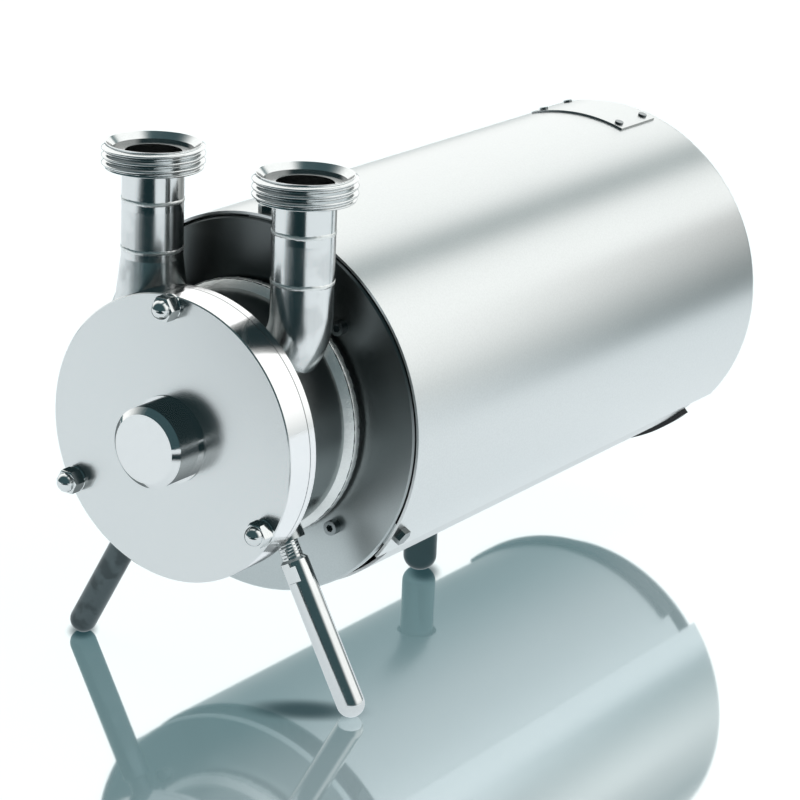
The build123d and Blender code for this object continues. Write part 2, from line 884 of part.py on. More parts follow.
with BuildPart() as impeller_nut:
    nut_front = impeller_depth - impeller_nut_height
    prism(nut_front, impeller_depth, impeller_nut_flats, shaft_section)
    bore(nut_front, impeller_depth, shaft_thread_diameter / 2)
impeller_nut.part.label = "impeller_nut"
export_step(impeller_nut.part, "parts/impeller_nut.step")

# Pump shaft: thread, impeller seat, collar, seal part and the sleeve over the motor shaft
shaft_screw_depths = (
    shaft_nose_depth + shaft_screw_inset,
    coupling_rear - shaft_screw_inset,
)
with BuildPart() as pump_shaft:
    turned(
        [
            (impeller_depth - shaft_thread_length, 0),
            (impeller_depth - shaft_thread_length, shaft_thread_diameter / 2),
            (impeller_depth, shaft_thread_diameter / 2),
            (impeller_depth, impeller_seat_diameter / 2),
            (hub_rear, impeller_seat_diameter / 2),
            (hub_rear, shaft_collar_diameter / 2),
            (collar_rear, shaft_collar_diameter / 2),
            (collar_rear, seal_shaft_diameter / 2),
            (coupling_depth, seal_shaft_diameter / 2),
            (coupling_depth, coupling_diameter / 2),
            (coupling_rear, coupling_diameter / 2),
            (coupling_rear, motor_shaft_diameter / 2),
            (coupling_depth + coupling_web, motor_shaft_diameter / 2),
            (coupling_depth + coupling_web, 0),
        ]
    )
    with BuildSketch(facing(impeller_depth + key_setback)):
        with Locations((0, impeller_seat_diameter / 2)):
            Rectangle(key_width, key_height)
    extrude(amount=-key_length, mode=Mode.SUBTRACT)
    for screw_depth in shaft_screw_depths:
        bore(0, coupling_diameter, shaft_screw_diameter / 2, spoke(top_angle, screw_depth))
pump_shaft.part.label = "pump_shaft"
export_step(pump_shaft.part, "parts/pump_shaft.step")

with BuildPart() as shaft_screws:
    for screw_depth in shaft_screw_depths:
        tube(
            motor_shaft_diameter / 2,
            coupling_diameter / 2 - slip_gap,
            shaft_screw_diameter / 2,
            0,
            spoke(top_angle, screw_depth),
        )
shaft_screws.part.label = "shaft_screws"
export_step(shaft_screws.part, "parts/shaft_screws.step")

# Shaft seal: a fixed seat with its O-ring in the casing, a ring and spring on the shaft
seat_bore_radius = seal_shaft_diameter / 2 + seal_bore_gap
seat_groove_rear = seat_groove_front + o_ring_section
with BuildPart() as seal_seat:
    turned(
        [
            (seat_front, seat_bore_radius),
            (seat_front, seat_nose_diameter / 2),
            (rear_wall_depth, seat_nose_diameter / 2),
            (rear_wall_depth, seat_diameter / 2),
            (seat_groove_front, seat_diameter / 2),
            (seat_groove_front, seat_diameter / 2 - o_ring_section),
            (seat_groove_rear, seat_diameter / 2 - o_ring_section),
            (seat_groove_rear, seat_diameter / 2),
            (seat_rear, seat_diameter / 2),
            (seat_rear, seat_bore_radius),
        ]
    )
seal_seat.part.label = "seal_seat"
export_step(seal_seat.part, "parts/seal_seat.step")

with BuildPart() as seat_o_ring:
    with BuildSketch(shaft_section):
        ring_middle = (seat_groove_front + seat_groove_rear) / 2
        with Locations((ring_middle, (seat_diameter - o_ring_section) / 2)):
            Circle(o_ring_section / 2)
    revolve(axis=shaft_axis)
seat_o_ring.part.label = "seat_o_ring"
export_step(seat_o_ring.part, "parts/seat_o_ring.step")

with BuildPart() as seal_ring:
    tube(seal_ring_front, seal_ring_rear, seal_ring_diameter / 2, seal_shaft_diameter / 2)
seal_ring.part.label = "seal_ring"
export_step(seal_ring.part, "parts/seal_ring.step")

with BuildPart() as seal_spring:
    spring_height = seal_ring_front - collar_rear - spring_wire
    with BuildLine() as coil:
        Helix(
            pitch=spring_height / spring_turns,
            height=spring_height,
            radius=spring_radius,
            center=facing(collar_rear + spring_wire / 2).origin,
            direction=(0, 1, 0),
        )
    with BuildSketch(Plane(origin=coil.line @ 0, z_dir=coil.line % 0)):
        Circle(spring_wire / 2)
    sweep(is_frenet=True)
seal_spring.part.label = "seal_spring"
export_step(seal_spring.part, "parts/seal_spring.step")

# Pipework: a male dairy union on each port, pipes, the suction reducer and the elbow


def port_union(side):
    """A male union at the top of a port, with its gasket seat and liner cone."""
    with BuildPart() as union:
        thread_radius = union_thread_diameter / 2
        thread_bottom = port_height - union_thread_height
        gasket_floor = port_height - union_gasket_depth
        cone_floor = port_height - union_cone_depth
        mouth_radius = thread_radius - union_lip_chamfer - union_lip_width
        gasket_radius = mouth_radius - union_gasket_step
        turned(
            [
                (port_height, mouth_radius),
                (port_height, thread_radius - union_lip_chamfer),
                (port_height - union_lip_chamfer, thread_radius),
                (thread_bottom, thread_radius),
                (thread_bottom - union_underside_slope, pipe_radius),
                (pipe_top, pipe_radius),
                (pipe_top, port_bore_radius),
                (gasket_floor, port_bore_radius),
                (gasket_floor, gasket_radius),
                (cone_floor, gasket_radius),
            ],
            upright(side * port_offset, port_depth),
        )
    return union


def port_pipe(side):
    """The straight pipe below a union."""
    with BuildPart() as pipe:
        tube(
            pipe_bottom,
            pipe_top,
            pipe_radius,
            port_bore_radius,
            upright(side * port_offset, port_depth),
        )
    return pipe


suction_union = port_union(-1)
suction_union.part.label = "suction_union"
export_step(suction_union.part, "parts/suction_union.step")

discharge_union = port_union(1)
discharge_union.part.label = "discharge_union"
export_step(discharge_union.part, "parts/discharge_union.step")

suction_pipe = port_pipe(-1)
suction_pipe.part.label = "suction_pipe"
export_step(suction_pipe.part, "parts/suction_pipe.step")

discharge_pipe = port_pipe(1)
discharge_pipe.part.label = "discharge_pipe"
export_step(discharge_pipe.part, "parts/discharge_pipe.step")

with BuildPart() as suction_reducer:
    turned(
        [
            (pipe_bottom, port_bore_radius),
            (pipe_bottom, pipe_radius),
            (suction_boss_top, reducer_diameter / 2),
            (suction_boss_top, port_bore_radius),
        ],
        suction_axis,
    )
    bore(flange_rear, drum_end_depth, drum_radius)
suction_reducer.part.label = "suction_reducer"
export_step(suction_reducer.part, "parts/suction_reducer.step")

with BuildPart() as discharge_elbow:
    tube(elbow_top, pipe_bottom, pipe_radius, port_bore_radius, discharge_axis)
    with BuildSketch(level(elbow_top, port_offset, port_depth)):
        Circle(pipe_radius)
        Circle(port_bore_radius, mode=Mode.SUBTRACT)
    revolve(axis=elbow_axis, revolution_arc=elbow_angle)
    bore(0, casing_rear, chamber_radius)
discharge_elbow.part.label = "discharge_elbow"
export_step(discharge_elbow.part, "parts/discharge_elbow.step")

# Motor adapter: spigot through the shroud disc, plate, bell with windows, motor flange
flange_bolt_sections = ring_of(flange_bolt_radius, flange_bolt_count, 45)
casing_screw_sections = ring_of(casing_screw_radius, casing_screw_count, 45)
disc_screw_sections = ring_of(disc_screw_radius, disc_screw_count, 45)
with BuildPart() as motor_adapter:
    turned(
        [
            (casing_rear, adapter_shaft_hole_diameter / 2),
            (casing_rear, adapter_spigot_radius),
            (disc_rear, adapter_spigot_radius),
            (disc_rear, adapter_plate_radius),
            (plate_end, adapter_plate_radius),
            (plate_end, adapter_bell_radius),
            (adapter_flange_front, adapter_bell_radius),
            (adapter_flange_front, motor_flange_radius),
            (motor_face_depth, motor_flange_radius),
            (motor_face_depth, motor_spigot_radius),
            (motor_spigot_front, motor_spigot_radius),
            (motor_spigot_front, adapter_bore_radius),
            (plate_end, adapter_bore_radius),
            (plate_end, adapter_shaft_hole_diameter / 2),
        ]
    )
    for step in range(adapter_window_count):
        window(
            360 * step / adapter_window_count,
            (plate_end + adapter_flange_front) / 2,
            adapter_flange_front - plate_end - 2 * adapter_window_margin,
            adapter_window_width,
            adapter_shaft_hole_diameter / 2,
            motor_flange_radius,
            adapter_window_margin,
        )
    for bolt_section in flange_bolt_sections:
        bore(adapter_flange_front, motor_face_depth, flange_bolt_diameter / 2, bolt_section)
    for screw_section in casing_screw_sections:
        bore(casing_rear, plate_end, casing_screw_diameter / 2, screw_section)
    for screw_section in disc_screw_sections:
        bore(disc_rear, plate_end, disc_screw_diameter / 2, screw_section)
motor_adapter.part.label = "motor_adapter"
export_step(motor_adapter.part, "parts/motor_adapter.step")

with BuildPart() as casing_screws:
    screw_end = casing_rear - casing_screw_engagement
    head_end = plate_end + casing_screw_diameter
    for screw_section in casing_screw_sections:
        tube(screw_end, plate_end, casing_screw_diameter / 2, 0, screw_section)
        tube(plate_end, head_end, casing_screw_head_diameter / 2, 0, screw_section)
casing_screws.part.label = "casing_screws"
export_step(casing_screws.part, "parts/casing_screws.step")

# Motor flange with the front bearing housing
tie_sections = ring_of(tie_bolt_radius, tie_bolt_count, 45)
tie_bolt_front = frame_front - tie_bolt_engagement
with BuildPart() as motor_flange:
    turned(
        [
            (motor_spigot_front, shaft_hole_diameter / 2),
            (motor_spigot_front, motor_spigot_radius),
            (motor_face_depth, motor_spigot_radius),
            (motor_face_depth, motor_flange_radius),
            (flange_end, motor_flange_radius),
            (flange_end, frame_body_radius),
            (frame_front, frame_body_radius),
            (frame_front, frame_bore_radius),
            (frame_front + shield_register_length, frame_bore_radius),
            (frame_front + shield_register_length, register_inner_radius),
            (motor_face_depth + shield_wall, register_inner_radius),
            (motor_face_depth + shield_wall, bearing_housing_radius),
            (frame_front, bearing_housing_radius),
            (frame_front, bearing_radius),
            (bearing_depths[0], bearing_radius),
            (bearing_depths[0], shaft_hole_diameter / 2),
        ]
    )
    for tie_section in tie_sections:
        tube(flange_end, frame_front, frame_lug_diameter / 2, 0, tie_section)
        bore(tie_bolt_front, frame_front, tie_bolt_diameter / 2, tie_section)
    for bolt_section in flange_bolt_sections:
        bore(motor_face_depth, flange_end, flange_bolt_diameter / 2, bolt_section)
motor_flange.part.label = "motor_flange"
export_step(motor_flange.part, "parts/motor_flange.step")

with BuildPart() as flange_bolts:
    head_front = adapter_flange_front - flange_bolt_head_height
    for bolt_section in flange_bolt_sections:
        prism(head_front, adapter_flange_front, flange_bolt_flats, bolt_section)
        tube(adapter_flange_front, flange_end, flange_bolt_diameter / 2, 0, bolt_section)
flange_bolts.part.label = "flange_bolts"
export_step(flange_bolts.part, "parts/flange_bolts.step")

# Motor frame: a finned tube with tie bolt lugs, a foot pad below and a flat on top
pad_screw_sections = [
    upright(x * pad_screw_spacing_x / 2, rear_leg_depth + y * pad_screw_spacing_y / 2)
    for x in (-1, 1)
    for y in (-1, 1)
]
with BuildPart() as motor_frame:
    tube(frame_front, frame_rear, frame_body_radius, 0)
    with BuildSketch(facing(frame_front + frame_fin_setback)):
        fin_middle = (frame_fin_radius + frame_bore_radius) / 2
        with PolarLocations(fin_middle, frame_fin_count):
            Rectangle(frame_fin_radius - frame_bore_radius, frame_fin_width)
    extrude(amount=2 * frame_fin_setback + frame_front - frame_rear)
    for tie_section in tie_sections:
        tube(frame_front, frame_rear, frame_lug_diameter / 2, 0, tie_section)
    with BuildSketch(level(-frame_pad_height, 0, rear_leg_depth)):
        Rectangle(foot_pad_width, foot_pad_length)
    extrude(amount=frame_pad_height - frame_bore_radius / 2)
    with BuildSketch(level(frame_pad_height, 0, frame_rear - top_pad_length / 2)):
        Rectangle(top_pad_width, top_pad_length)
    extrude(amount=frame_bore_radius / 2 - frame_pad_height)
    bore(frame_front, frame_rear, frame_bore_radius)
    for tie_section in tie_sections:
        bore(frame_front, frame_rear, tie_bolt_diameter / 2, tie_section)
    for screw_section in pad_screw_sections:
        bore(
            -frame_pad_height,
            pad_screw_engagement - frame_pad_height,
            pad_screw_diameter / 2,
            screw_section,
        )
motor_frame.part.label = "motor_frame"
export_step(motor_frame.part, "parts/motor_frame.step")

with BuildPart() as stator_core:
    tube(core_front, core_rear, frame_bore_radius, stator_bore_diameter / 2)
stator_core.part.label = "stator_core"
export_step(stator_core.part, "parts/stator_core.step")

# Winding heads: a taped ring of wire at each end of the core, chamfered at its free edges
with BuildPart() as stator_winding:
    for root, tip, slope in (
        (core_front, core_front - winding_length, winding_chamfer),
        (core_rear, core_rear + winding_length, -winding_chamfer),
    ):
        turned(
            [
                (root, winding_inner_radius),
                (root, winding_outer_radius),
                (tip + slope, winding_outer_radius),
                (tip, winding_outer_radius - winding_chamfer),
                (tip, winding_inner_radius + winding_chamfer),
                (tip + slope, winding_inner_radius),
            ]
        )
stator_winding.part.label = "stator_winding"
export_step(stator_winding.part, "parts/stator_winding.step")

with BuildPart() as rotor_core:
    tube(core_front, core_rear, rotor_radius, core_shaft_diameter / 2)
    ring_inner_radius = rotor_radius - end_ring_width
    tube(core_front - end_ring_length, core_front, rotor_radius, ring_inner_radius)
    tube(core_rear, core_rear + end_ring_length, rotor_radius, ring_inner_radius)
rotor_core.part.label = "rotor_core"
export_step(rotor_core.part, "parts/rotor_core.step")

with BuildPart() as motor_shaft:
    tube(shaft_nose_depth, bearing_depths[0], motor_shaft_diameter / 2, 0)
    tube(bearing_depths[0], frame_front, bearing_bore_diameter / 2, 0)
    tube(frame_front, frame_rear, core_shaft_diameter / 2, 0)
    tube(frame_rear, rear_shield_mid, bearing_bore_diameter / 2, 0)
    tube(rear_shield_mid, fan_end, fan_shaft_diameter / 2, 0)
motor_shaft.part.label = "motor_shaft"
export_step(motor_shaft.part, "parts/motor_shaft.step")

# Ball bearings at both ends of the motor shaft


def ball_track(depth):
    """Cuts the track of the balls into the rings of a bearing."""
    with BuildSketch(shaft_section) as track:
        with Locations((depth + bearing_width / 2, ball_circle_radius)):
            Circle(ball_diameter / 2 + ball_gap)
    revolve(track.sketch, axis=shaft_axis, mode=Mode.SUBTRACT)


inner_ring_radius = bearing_bore_diameter / 2 + bearing_ring_wall
with BuildPart() as bearing_outer_rings:
    for depth in bearing_depths:
        ring_end = depth + bearing_width
        tube(depth, ring_end, bearing_radius, bearing_radius - bearing_ring_wall)
        ball_track(depth)
bearing_outer_rings.part.label = "bearing_outer_rings"
export_step(bearing_outer_rings.part, "parts/bearing_outer_rings.step")

with BuildPart() as bearing_inner_rings:
    for depth in bearing_depths:
        tube(depth, depth + bearing_width, inner_ring_radius, bearing_bore_diameter / 2)
        ball_track(depth)
bearing_inner_rings.part.label = "bearing_inner_rings"
export_step(bearing_inner_rings.part, "parts/bearing_inner_rings.step")

with BuildPart() as bearing_balls:
    for depth in bearing_depths:
        with Locations(facing(depth + bearing_width / 2)):
            with PolarLocations(ball_circle_radius, ball_count):
                Sphere(ball_diameter / 2)
bearing_balls.part.label = "bearing_balls"
export_step(bearing_balls.part, "parts/bearing_balls.step")

with BuildPart() as bearing_cages:
    for depth in bearing_depths:
        cage_front = depth + (bearing_width - cage_width) / 2
        tube(
            cage_front,
            cage_front + cage_width,
            ball_circle_radius + cage_wall / 2,
            ball_circle_radius - cage_wall / 2,
        )
        for ball in range(ball_count):
            bore(
                ball_circle_radius - cage_wall,
                ball_circle_radius + cage_wall,
                ball_diameter / 2,
                spoke(360 * ball / ball_count, depth + bearing_width / 2),
            )
bearing_cages.part.label = "bearing_cages"
export_step(bearing_cages.part, "parts/bearing_cages.step")

# Rear shield with the rear bearing housing, held by four tie bolts through the frame
with BuildPart() as rear_shield:
    register_front = frame_rear - shield_register_length
    turned(
        [
            (register_front, frame_bore_radius),
            (frame_rear, frame_bore_radius),
            (frame_rear, cowl_inner_radius),
            (rear_shield_end, cowl_inner_radius),
            (rear_shield_end, shaft_hole_diameter / 2),
            (rear_shield_mid, shaft_hole_diameter / 2),
            (rear_shield_mid, bearing_radius),
            (frame_rear, bearing_radius),
            (frame_rear, bearing_housing_radius),
            (rear_shield_mid, bearing_housing_radius),
            (rear_shield_mid, register_inner_radius),
            (register_front, register_inner_radius),
        ]
    )
    for tie_section in tie_sections:
        bore(frame_rear, rear_shield_end, tie_bolt_diameter / 2, tie_section)
rear_shield.part.label = "rear_shield"
export_step(rear_shield.part, "parts/rear_shield.step")

with BuildPart() as tie_bolts:
    tie_head_end = rear_shield_end + tie_bolt_head_height
    for tie_section in tie_sections:
        tube(tie_bolt_front, rear_shield_end, tie_bolt_diameter / 2, 0, tie_section)
        tube(rear_shield_end, tie_head_end, tie_bolt_head_diameter / 2, 0, tie_section)
tie_bolts.part.label = "tie_bolts"
export_step(tie_bolts.part, "parts/tie_bolts.step")

with BuildPart() as cooling_fan:
    tube(fan_front, fan_front + fan_disc_thickness, fan_radius, 0)
    with BuildSketch(facing(fan_front)):
        Circle(fan_hub_diameter / 2)
        with PolarLocations(fan_radius / 2, fan_blade_count):
            Rectangle(fan_radius, fan_blade_thickness)
        Circle(fan_radius, mode=Mode.INTERSECT)
    extrude(amount=-fan_width)
    bore(fan_front, fan_end, fan_shaft_diameter / 2)
cooling_fan.part.label = "cooling_fan"
export_step(cooling_fan.part, "parts/cooling_fan.step")

with BuildPart() as fan_cowl:
    turned(
        [
            (cowl_front, cowl_inner_radius),
            (cowl_front, cowl_radius),
            (cowl_end, cowl_radius),
            (cowl_end, 0),
            (cowl_end - cowl_wall, 0),
            (cowl_end - cowl_wall, cowl_inner_radius),
        ]
    )
    slotted(
        cowl_end - cowl_wall,
        cowl_wall,
        cowl_first_radius,
        cowl_slot_pitch,
        cowl_slot_rows,
        cowl_slot_width,
        cowl_spokes,
        cowl_spoke_width,
    )
fan_cowl.part.label = "fan_cowl"
export_step(fan_cowl.part, "parts/fan_cowl.step")

# Terminal box on its bracket behind the cowl, below the hatch, with a cable gland
gland_section = Plane(
    origin=(
        -box_width / 2,
        cover_face_y + box_middle,
        shaft_height + (box_top + box_bottom) / 2,
    ),
    x_dir=(-1, 0, 0),
    z_dir=(0, 1, 0),
)
with BuildPart() as terminal_box:
    with BuildSketch(level(box_bottom, 0, box_middle)):
        RectangleRounded(box_width, box_length, box_corner_radius)
    extrude(amount=box_height - box_lid_thickness)
    with BuildSketch(level(box_bottom + box_wall, 0, box_middle)):
        RectangleRounded(
            box_width - 2 * box_wall, box_length - 2 * box_wall, box_corner_radius - box_wall
        )
    extrude(amount=box_height, mode=Mode.SUBTRACT)
    bore(-box_wall, 0, gland_thread_diameter / 2, gland_section)
terminal_box.part.label = "terminal_box"
export_step(terminal_box.part, "parts/terminal_box.step")

with BuildPart() as terminal_box_lid:
    with BuildSketch(level(box_top - box_lid_thickness, 0, box_middle)):
        RectangleRounded(box_width, box_length, box_corner_radius)
    extrude(amount=box_lid_thickness)
terminal_box_lid.part.label = "terminal_box_lid"
export_step(terminal_box_lid.part, "parts/terminal_box_lid.step")

with BuildPart() as box_bracket:
    with BuildSketch(shaft_section):
        with BuildLine():
            bracket_top = frame_pad_height + bracket_thickness
            Polyline(
                (frame_rear - bracket_overlap, frame_pad_height),
                (frame_rear - bracket_overlap, bracket_top),
                (box_depth, bracket_top),
                (box_depth, bracket_top - bracket_drop),
                (box_depth - bracket_thickness, bracket_top - bracket_drop),
                (box_depth - bracket_thickness, frame_pad_height),
                close=True,
            )
        make_face()
    extrude(amount=bracket_width / 2, both=True)
box_bracket.part.label = "box_bracket"
export_step(box_bracket.part, "parts/box_bracket.step")

with BuildPart() as cable_gland:
    tube(-gland_thread_length, 0, gland_thread_diameter / 2, 0, gland_section)
    prism(0, gland_hex_length, gland_flats, gland_section)
    turned(
        [
            (gland_hex_length, 0),
            (gland_hex_length, gland_diameter / 2),
            (gland_length - gland_hex_length / 2, gland_diameter / 2),
            (gland_length, gland_thread_diameter / 2),
            (gland_length, 0),
        ],
        gland_section,
    )
    bore(-gland_thread_length, gland_length, gland_bore_diameter / 2, gland_section)
cable_gland.part.label = "cable_gland"
export_step(cable_gland.part, "parts/cable_gland.step")

# Shroud disc: a dished sheet held between the adapter and four screws, with three tabs on
# its rim that carry the shroud at its radial screws
shroud_screw_angles = (top_angle, top_angle + 120, top_angle + 240)
shroud_screw_sections = [spoke(angle, shroud_screw_depth) for angle in shroud_screw_angles]
with BuildPart() as shroud_disc:
    rim_end = disc_depth + disc_rim_length
    turned(
        [
            (disc_depth, adapter_spigot_radius),
            (disc_depth, disc_radius - disc_edge_chamfer),
            (disc_depth + disc_edge_chamfer, disc_radius),
            (rim_end, disc_radius),
            (rim_end, disc_radius - disc_thickness),
            (disc_rear, disc_radius - disc_thickness),
            (disc_rear, adapter_spigot_radius),
        ]
    )
    for angle in shroud_screw_angles:
        shell(
            disc_rear,
            disc_depth + disc_tab_length,
            shroud_inner_radius,
            disc_radius - disc_thickness / 2,
            angle - shroud_pad_angle / 2,
            shroud_pad_angle,
        )
    for screw_section in shroud_screw_sections:
        bore(adapter_bell_radius, shroud_radius, shroud_screw_diameter / 2, screw_section)
    for screw_section in disc_screw_sections:
        bore(disc_depth, disc_rear, disc_screw_diameter / 2, screw_section)
shroud_disc.part.label = "shroud_disc"
export_step(shroud_disc.part, "parts/shroud_disc.step")

with BuildPart() as disc_screws:
    head_front = disc_depth - disc_screw_head_height
    screw_end = disc_depth + disc_screw_length
    socket_end = head_front + disc_screw_socket_depth
    for screw_section in disc_screw_sections:
        tube(head_front, disc_depth, disc_screw_head_diameter / 2, 0, screw_section)
        tube(disc_depth, screw_end, disc_screw_diameter / 2, 0, screw_section)
        prism(head_front, socket_end, disc_screw_socket, screw_section, Mode.SUBTRACT)
disc_screws.part.label = "disc_screws"
export_step(disc_screws.part, "parts/disc_screws.step")

# Shroud: a rolled wall, open below, with a rounded rear corner and an inward flange

grille_screw_outline = [
    (shroud_rear, 0),
    (shroud_rear, grille_screw_head_diameter / 2),
    (grille_rear, grille_screw_diameter / 2),
    (grille_rear - grille_screw_length, grille_screw_diameter / 2),
    (grille_rear - grille_screw_length, 0),
]
grille_screw_sections = ring_of(grille_screw_radius, grille_screw_count, top_angle)
hatch_screw_sections = [
    spoke(top_angle + side * hatch_screw_angle, depth)
    for side in (-1, 1)
    for depth in (
        hatch_depth + hatch_screw_inset,
        hatch_depth + hatch_length - hatch_screw_inset,
    )
]
with BuildPart() as shroud:
    with BuildSketch(section_at(180 + shroud_seam_angle)):
        with BuildLine():
            corner = (shroud_rear - shroud_rear_radius, shroud_radius - shroud_rear_radius)
            outside = CenterArc(corner, shroud_rear_radius, 0, 90)
            inside = CenterArc(corner, shroud_rear_radius - shroud_wall, 0, 90)
            Polyline(
                outside @ 1,
                (shroud_front, shroud_radius),
                (shroud_front, shroud_inner_radius),
                inside @ 1,
            )
            Polyline(
                outside @ 0,
                (shroud_rear, shroud_radius - shroud_rear_flange),
                (grille_rear, shroud_radius - shroud_rear_flange),
                inside @ 0,
            )
        make_face()
    revolve(axis=shaft_axis, revolution_arc=shroud_sweep)
    for screw_section in grille_screw_sections:
        turned(grille_screw_outline, screw_section, Mode.SUBTRACT)
    for screw_section in shroud_screw_sections:
        bore(disc_radius, shroud_radius, shroud_screw_diameter / 2, screw_section)
    window(
        top_angle,
        hatch_depth + hatch_length / 2,
        hatch_length - 2 * hatch_overlap,
        2 * (hatch_half_width - hatch_overlap),
        adapter_bell_radius,
        hatch_radius,
        hatch_overlap / 2,
    )
    for screw_section in hatch_screw_sections:
        bore(disc_radius, hatch_radius, hatch_screw_diameter / 2, screw_section)
shroud.part.label = "shroud"
export_step(shroud.part, "parts/shroud.step")

# Belly panel: a rolled sheet that laps inside both lower edges of the shroud and stops short
# of its rear, where air can enter, with an edge trim around its rear end
with BuildPart() as shroud_belly:
    shell(
        disc_depth + belly_setback,
        belly_rear,
        shroud_inner_radius,
        belly_inner_radius,
        bottom_angle - belly_half_angle,
        2 * belly_half_angle,
    )
    bore(
        adapter_bell_radius,
        shroud_radius,
        rear_leg_diameter / 2 + rear_leg_hole_gap,
        spoke(bottom_angle, rear_leg_depth),
    )
shroud_belly.part.label = "shroud_belly"
export_step(shroud_belly.part, "parts/shroud_belly.step")

with BuildPart() as belly_trim:
    with BuildSketch(section_at(bottom_angle + trim_half_angle)):
        with BuildLine():
            Polyline(
                (belly_rear, belly_inner_radius),
                (belly_rear - trim_lip, belly_inner_radius),
                (belly_rear - trim_lip, belly_inner_radius - trim_rim),
                (belly_rear + trim_rim, belly_inner_radius - trim_rim),
                (belly_rear + trim_rim, shroud_inner_radius + trim_rim),
                (belly_rear - trim_lip, shroud_inner_radius + trim_rim),
                (belly_rear - trim_lip, shroud_inner_radius),
                (belly_rear, shroud_inner_radius),
                close=True,
            )
        make_face()
    revolve(axis=shaft_axis, revolution_arc=2 * trim_half_angle)
belly_trim.part.label = "belly_trim"
export_step(belly_trim.part, "parts/belly_trim.step")

with BuildPart() as shroud_screws:
    screw_end = shroud_radius - shroud_screw_length
    head_end = shroud_radius + shroud_screw_head_height
    for screw_section in shroud_screw_sections:
        prism(shroud_radius, head_end, shroud_screw_flats, screw_section)
        tube(screw_end, shroud_radius, shroud_screw_diameter / 2, 0, screw_section)
shroud_screws.part.label = "shroud_screws"
export_step(shroud_screws.part, "parts/shroud_screws.step")

with BuildPart() as hatch_plate:
    shell(
        hatch_depth,
        hatch_depth + hatch_length,
        hatch_radius,
        shroud_radius,
        top_angle - hatch_half_angle,
        2 * hatch_half_angle,
    )
    for screw_section in hatch_screw_sections:
        bore(shroud_inner_radius, hatch_radius, hatch_screw_diameter / 2, screw_section)
hatch_plate.part.label = "hatch_plate"
export_step(hatch_plate.part, "parts/hatch_plate.step")

with BuildPart() as hatch_screws:
    head_end = hatch_radius + hatch_screw_head_height
    for screw_section in hatch_screw_sections:
        tube(
            hatch_radius - hatch_screw_length,
            hatch_radius,
            hatch_screw_diameter / 2,
            0,
            screw_section,
        )
        tube(hatch_radius, head_end, hatch_screw_head_diameter / 2, 0, screw_section)
hatch_screws.part.label = "hatch_screws"
export_step(hatch_screws.part, "parts/hatch_screws.step")

# Rear grille inside the shroud's rear flange, with a grommet for the supply cable
grommet_section = beside(grille_radius - grommet_inset, grommet_angle)
with BuildPart() as rear_grille:
    tube(grille_front, grille_rear, grille_radius, 0)
    slotted(
        grille_front,
        grille_thickness,
        grille_first_radius,
        grille_slot_pitch,
        grille_slot_rows,
        grille_slot_width,
        grille_spokes,
        grille_spoke_width,
    )
    for screw_section in grille_screw_sections:
        bore(grille_front, grille_rear, grille_screw_diameter / 2, screw_section)
    bore(grille_front, grille_rear, grommet_neck_diameter / 2, grommet_section)
rear_grille.part.label = "rear_grille"
export_step(rear_grille.part, "parts/rear_grille.step")

with BuildPart() as grille_screws:
    for screw_section in grille_screw_sections:
        turned(grille_screw_outline, screw_section)
grille_screws.part.label = "grille_screws"
export_step(grille_screws.part, "parts/grille_screws.step")

with BuildPart() as cable_grommet:
    lip_front = grille_front - grommet_lip_thickness
    lip_rear = grille_rear + grommet_lip_thickness
    turned(
        [
            (lip_front, grommet_bore_diameter / 2),
            (lip_front, grommet_diameter / 2),
            (grille_front, grommet_diameter / 2),
            (grille_front, grommet_neck_diameter / 2),
            (grille_rear, grommet_neck_diameter / 2),
            (grille_rear, grommet_diameter / 2),
            (lip_rear, grommet_diameter / 2),
            (lip_rear, grommet_bore_diameter / 2),
        ],
        grommet_section,
    )
cable_grommet.part.label = "cable_grommet"
export_step(cable_grommet.part, "parts/cable_grommet.step")

# Legs: polished round bars on threaded studs, so that each can be screwed out to level


def front_leg(side):
    """A tilted front leg with a ball foot, spanner flats and its stud."""
    own_section = leg_section(side)
    stud_end = leg_boss_face + front_leg_engagement
    with BuildPart() as leg:
        turned(
            [
                (0, 0),
                (0, foot_radius),
                (front_leg_length - leg_top_chamfer, foot_radius),
                (front_leg_length, foot_radius - leg_top_chamfer),
                (front_leg_length, leg_stud_diameter / 2),
                (stud_end, leg_stud_diameter / 2),
                (stud_end, 0),
            ],
            own_section,
        )
        with Locations(own_section.origin):
            Sphere(foot_radius)
        flats_start = front_leg_length - leg_flats_setback - leg_flats_length
        flats_base = Plane(
            origin=own_section.from_local_coords(Vector(flats_start, 0, 0)),
            x_dir=(0, 1, 0),
            z_dir=own_section.x_dir,
        )
        with BuildSketch(flats_base):
            Rectangle(2 * front_leg_diameter, 2 * front_leg_diameter)
            Rectangle(leg_flats, 2 * front_leg_diameter, mode=Mode.SUBTRACT)
        extrude(amount=leg_flats_length, mode=Mode.SUBTRACT)
        split(bisect_by=Plane.XY, keep=Keep.TOP)
    return leg


front_leg_left = front_leg(-1)
front_leg_left.part.label = "front_leg_left"
export_step(front_leg_left.part, "parts/front_leg_left.step")

front_leg_right = front_leg(1)
front_leg_right.part.label = "front_leg_right"
export_step(front_leg_right.part, "parts/front_leg_right.step")

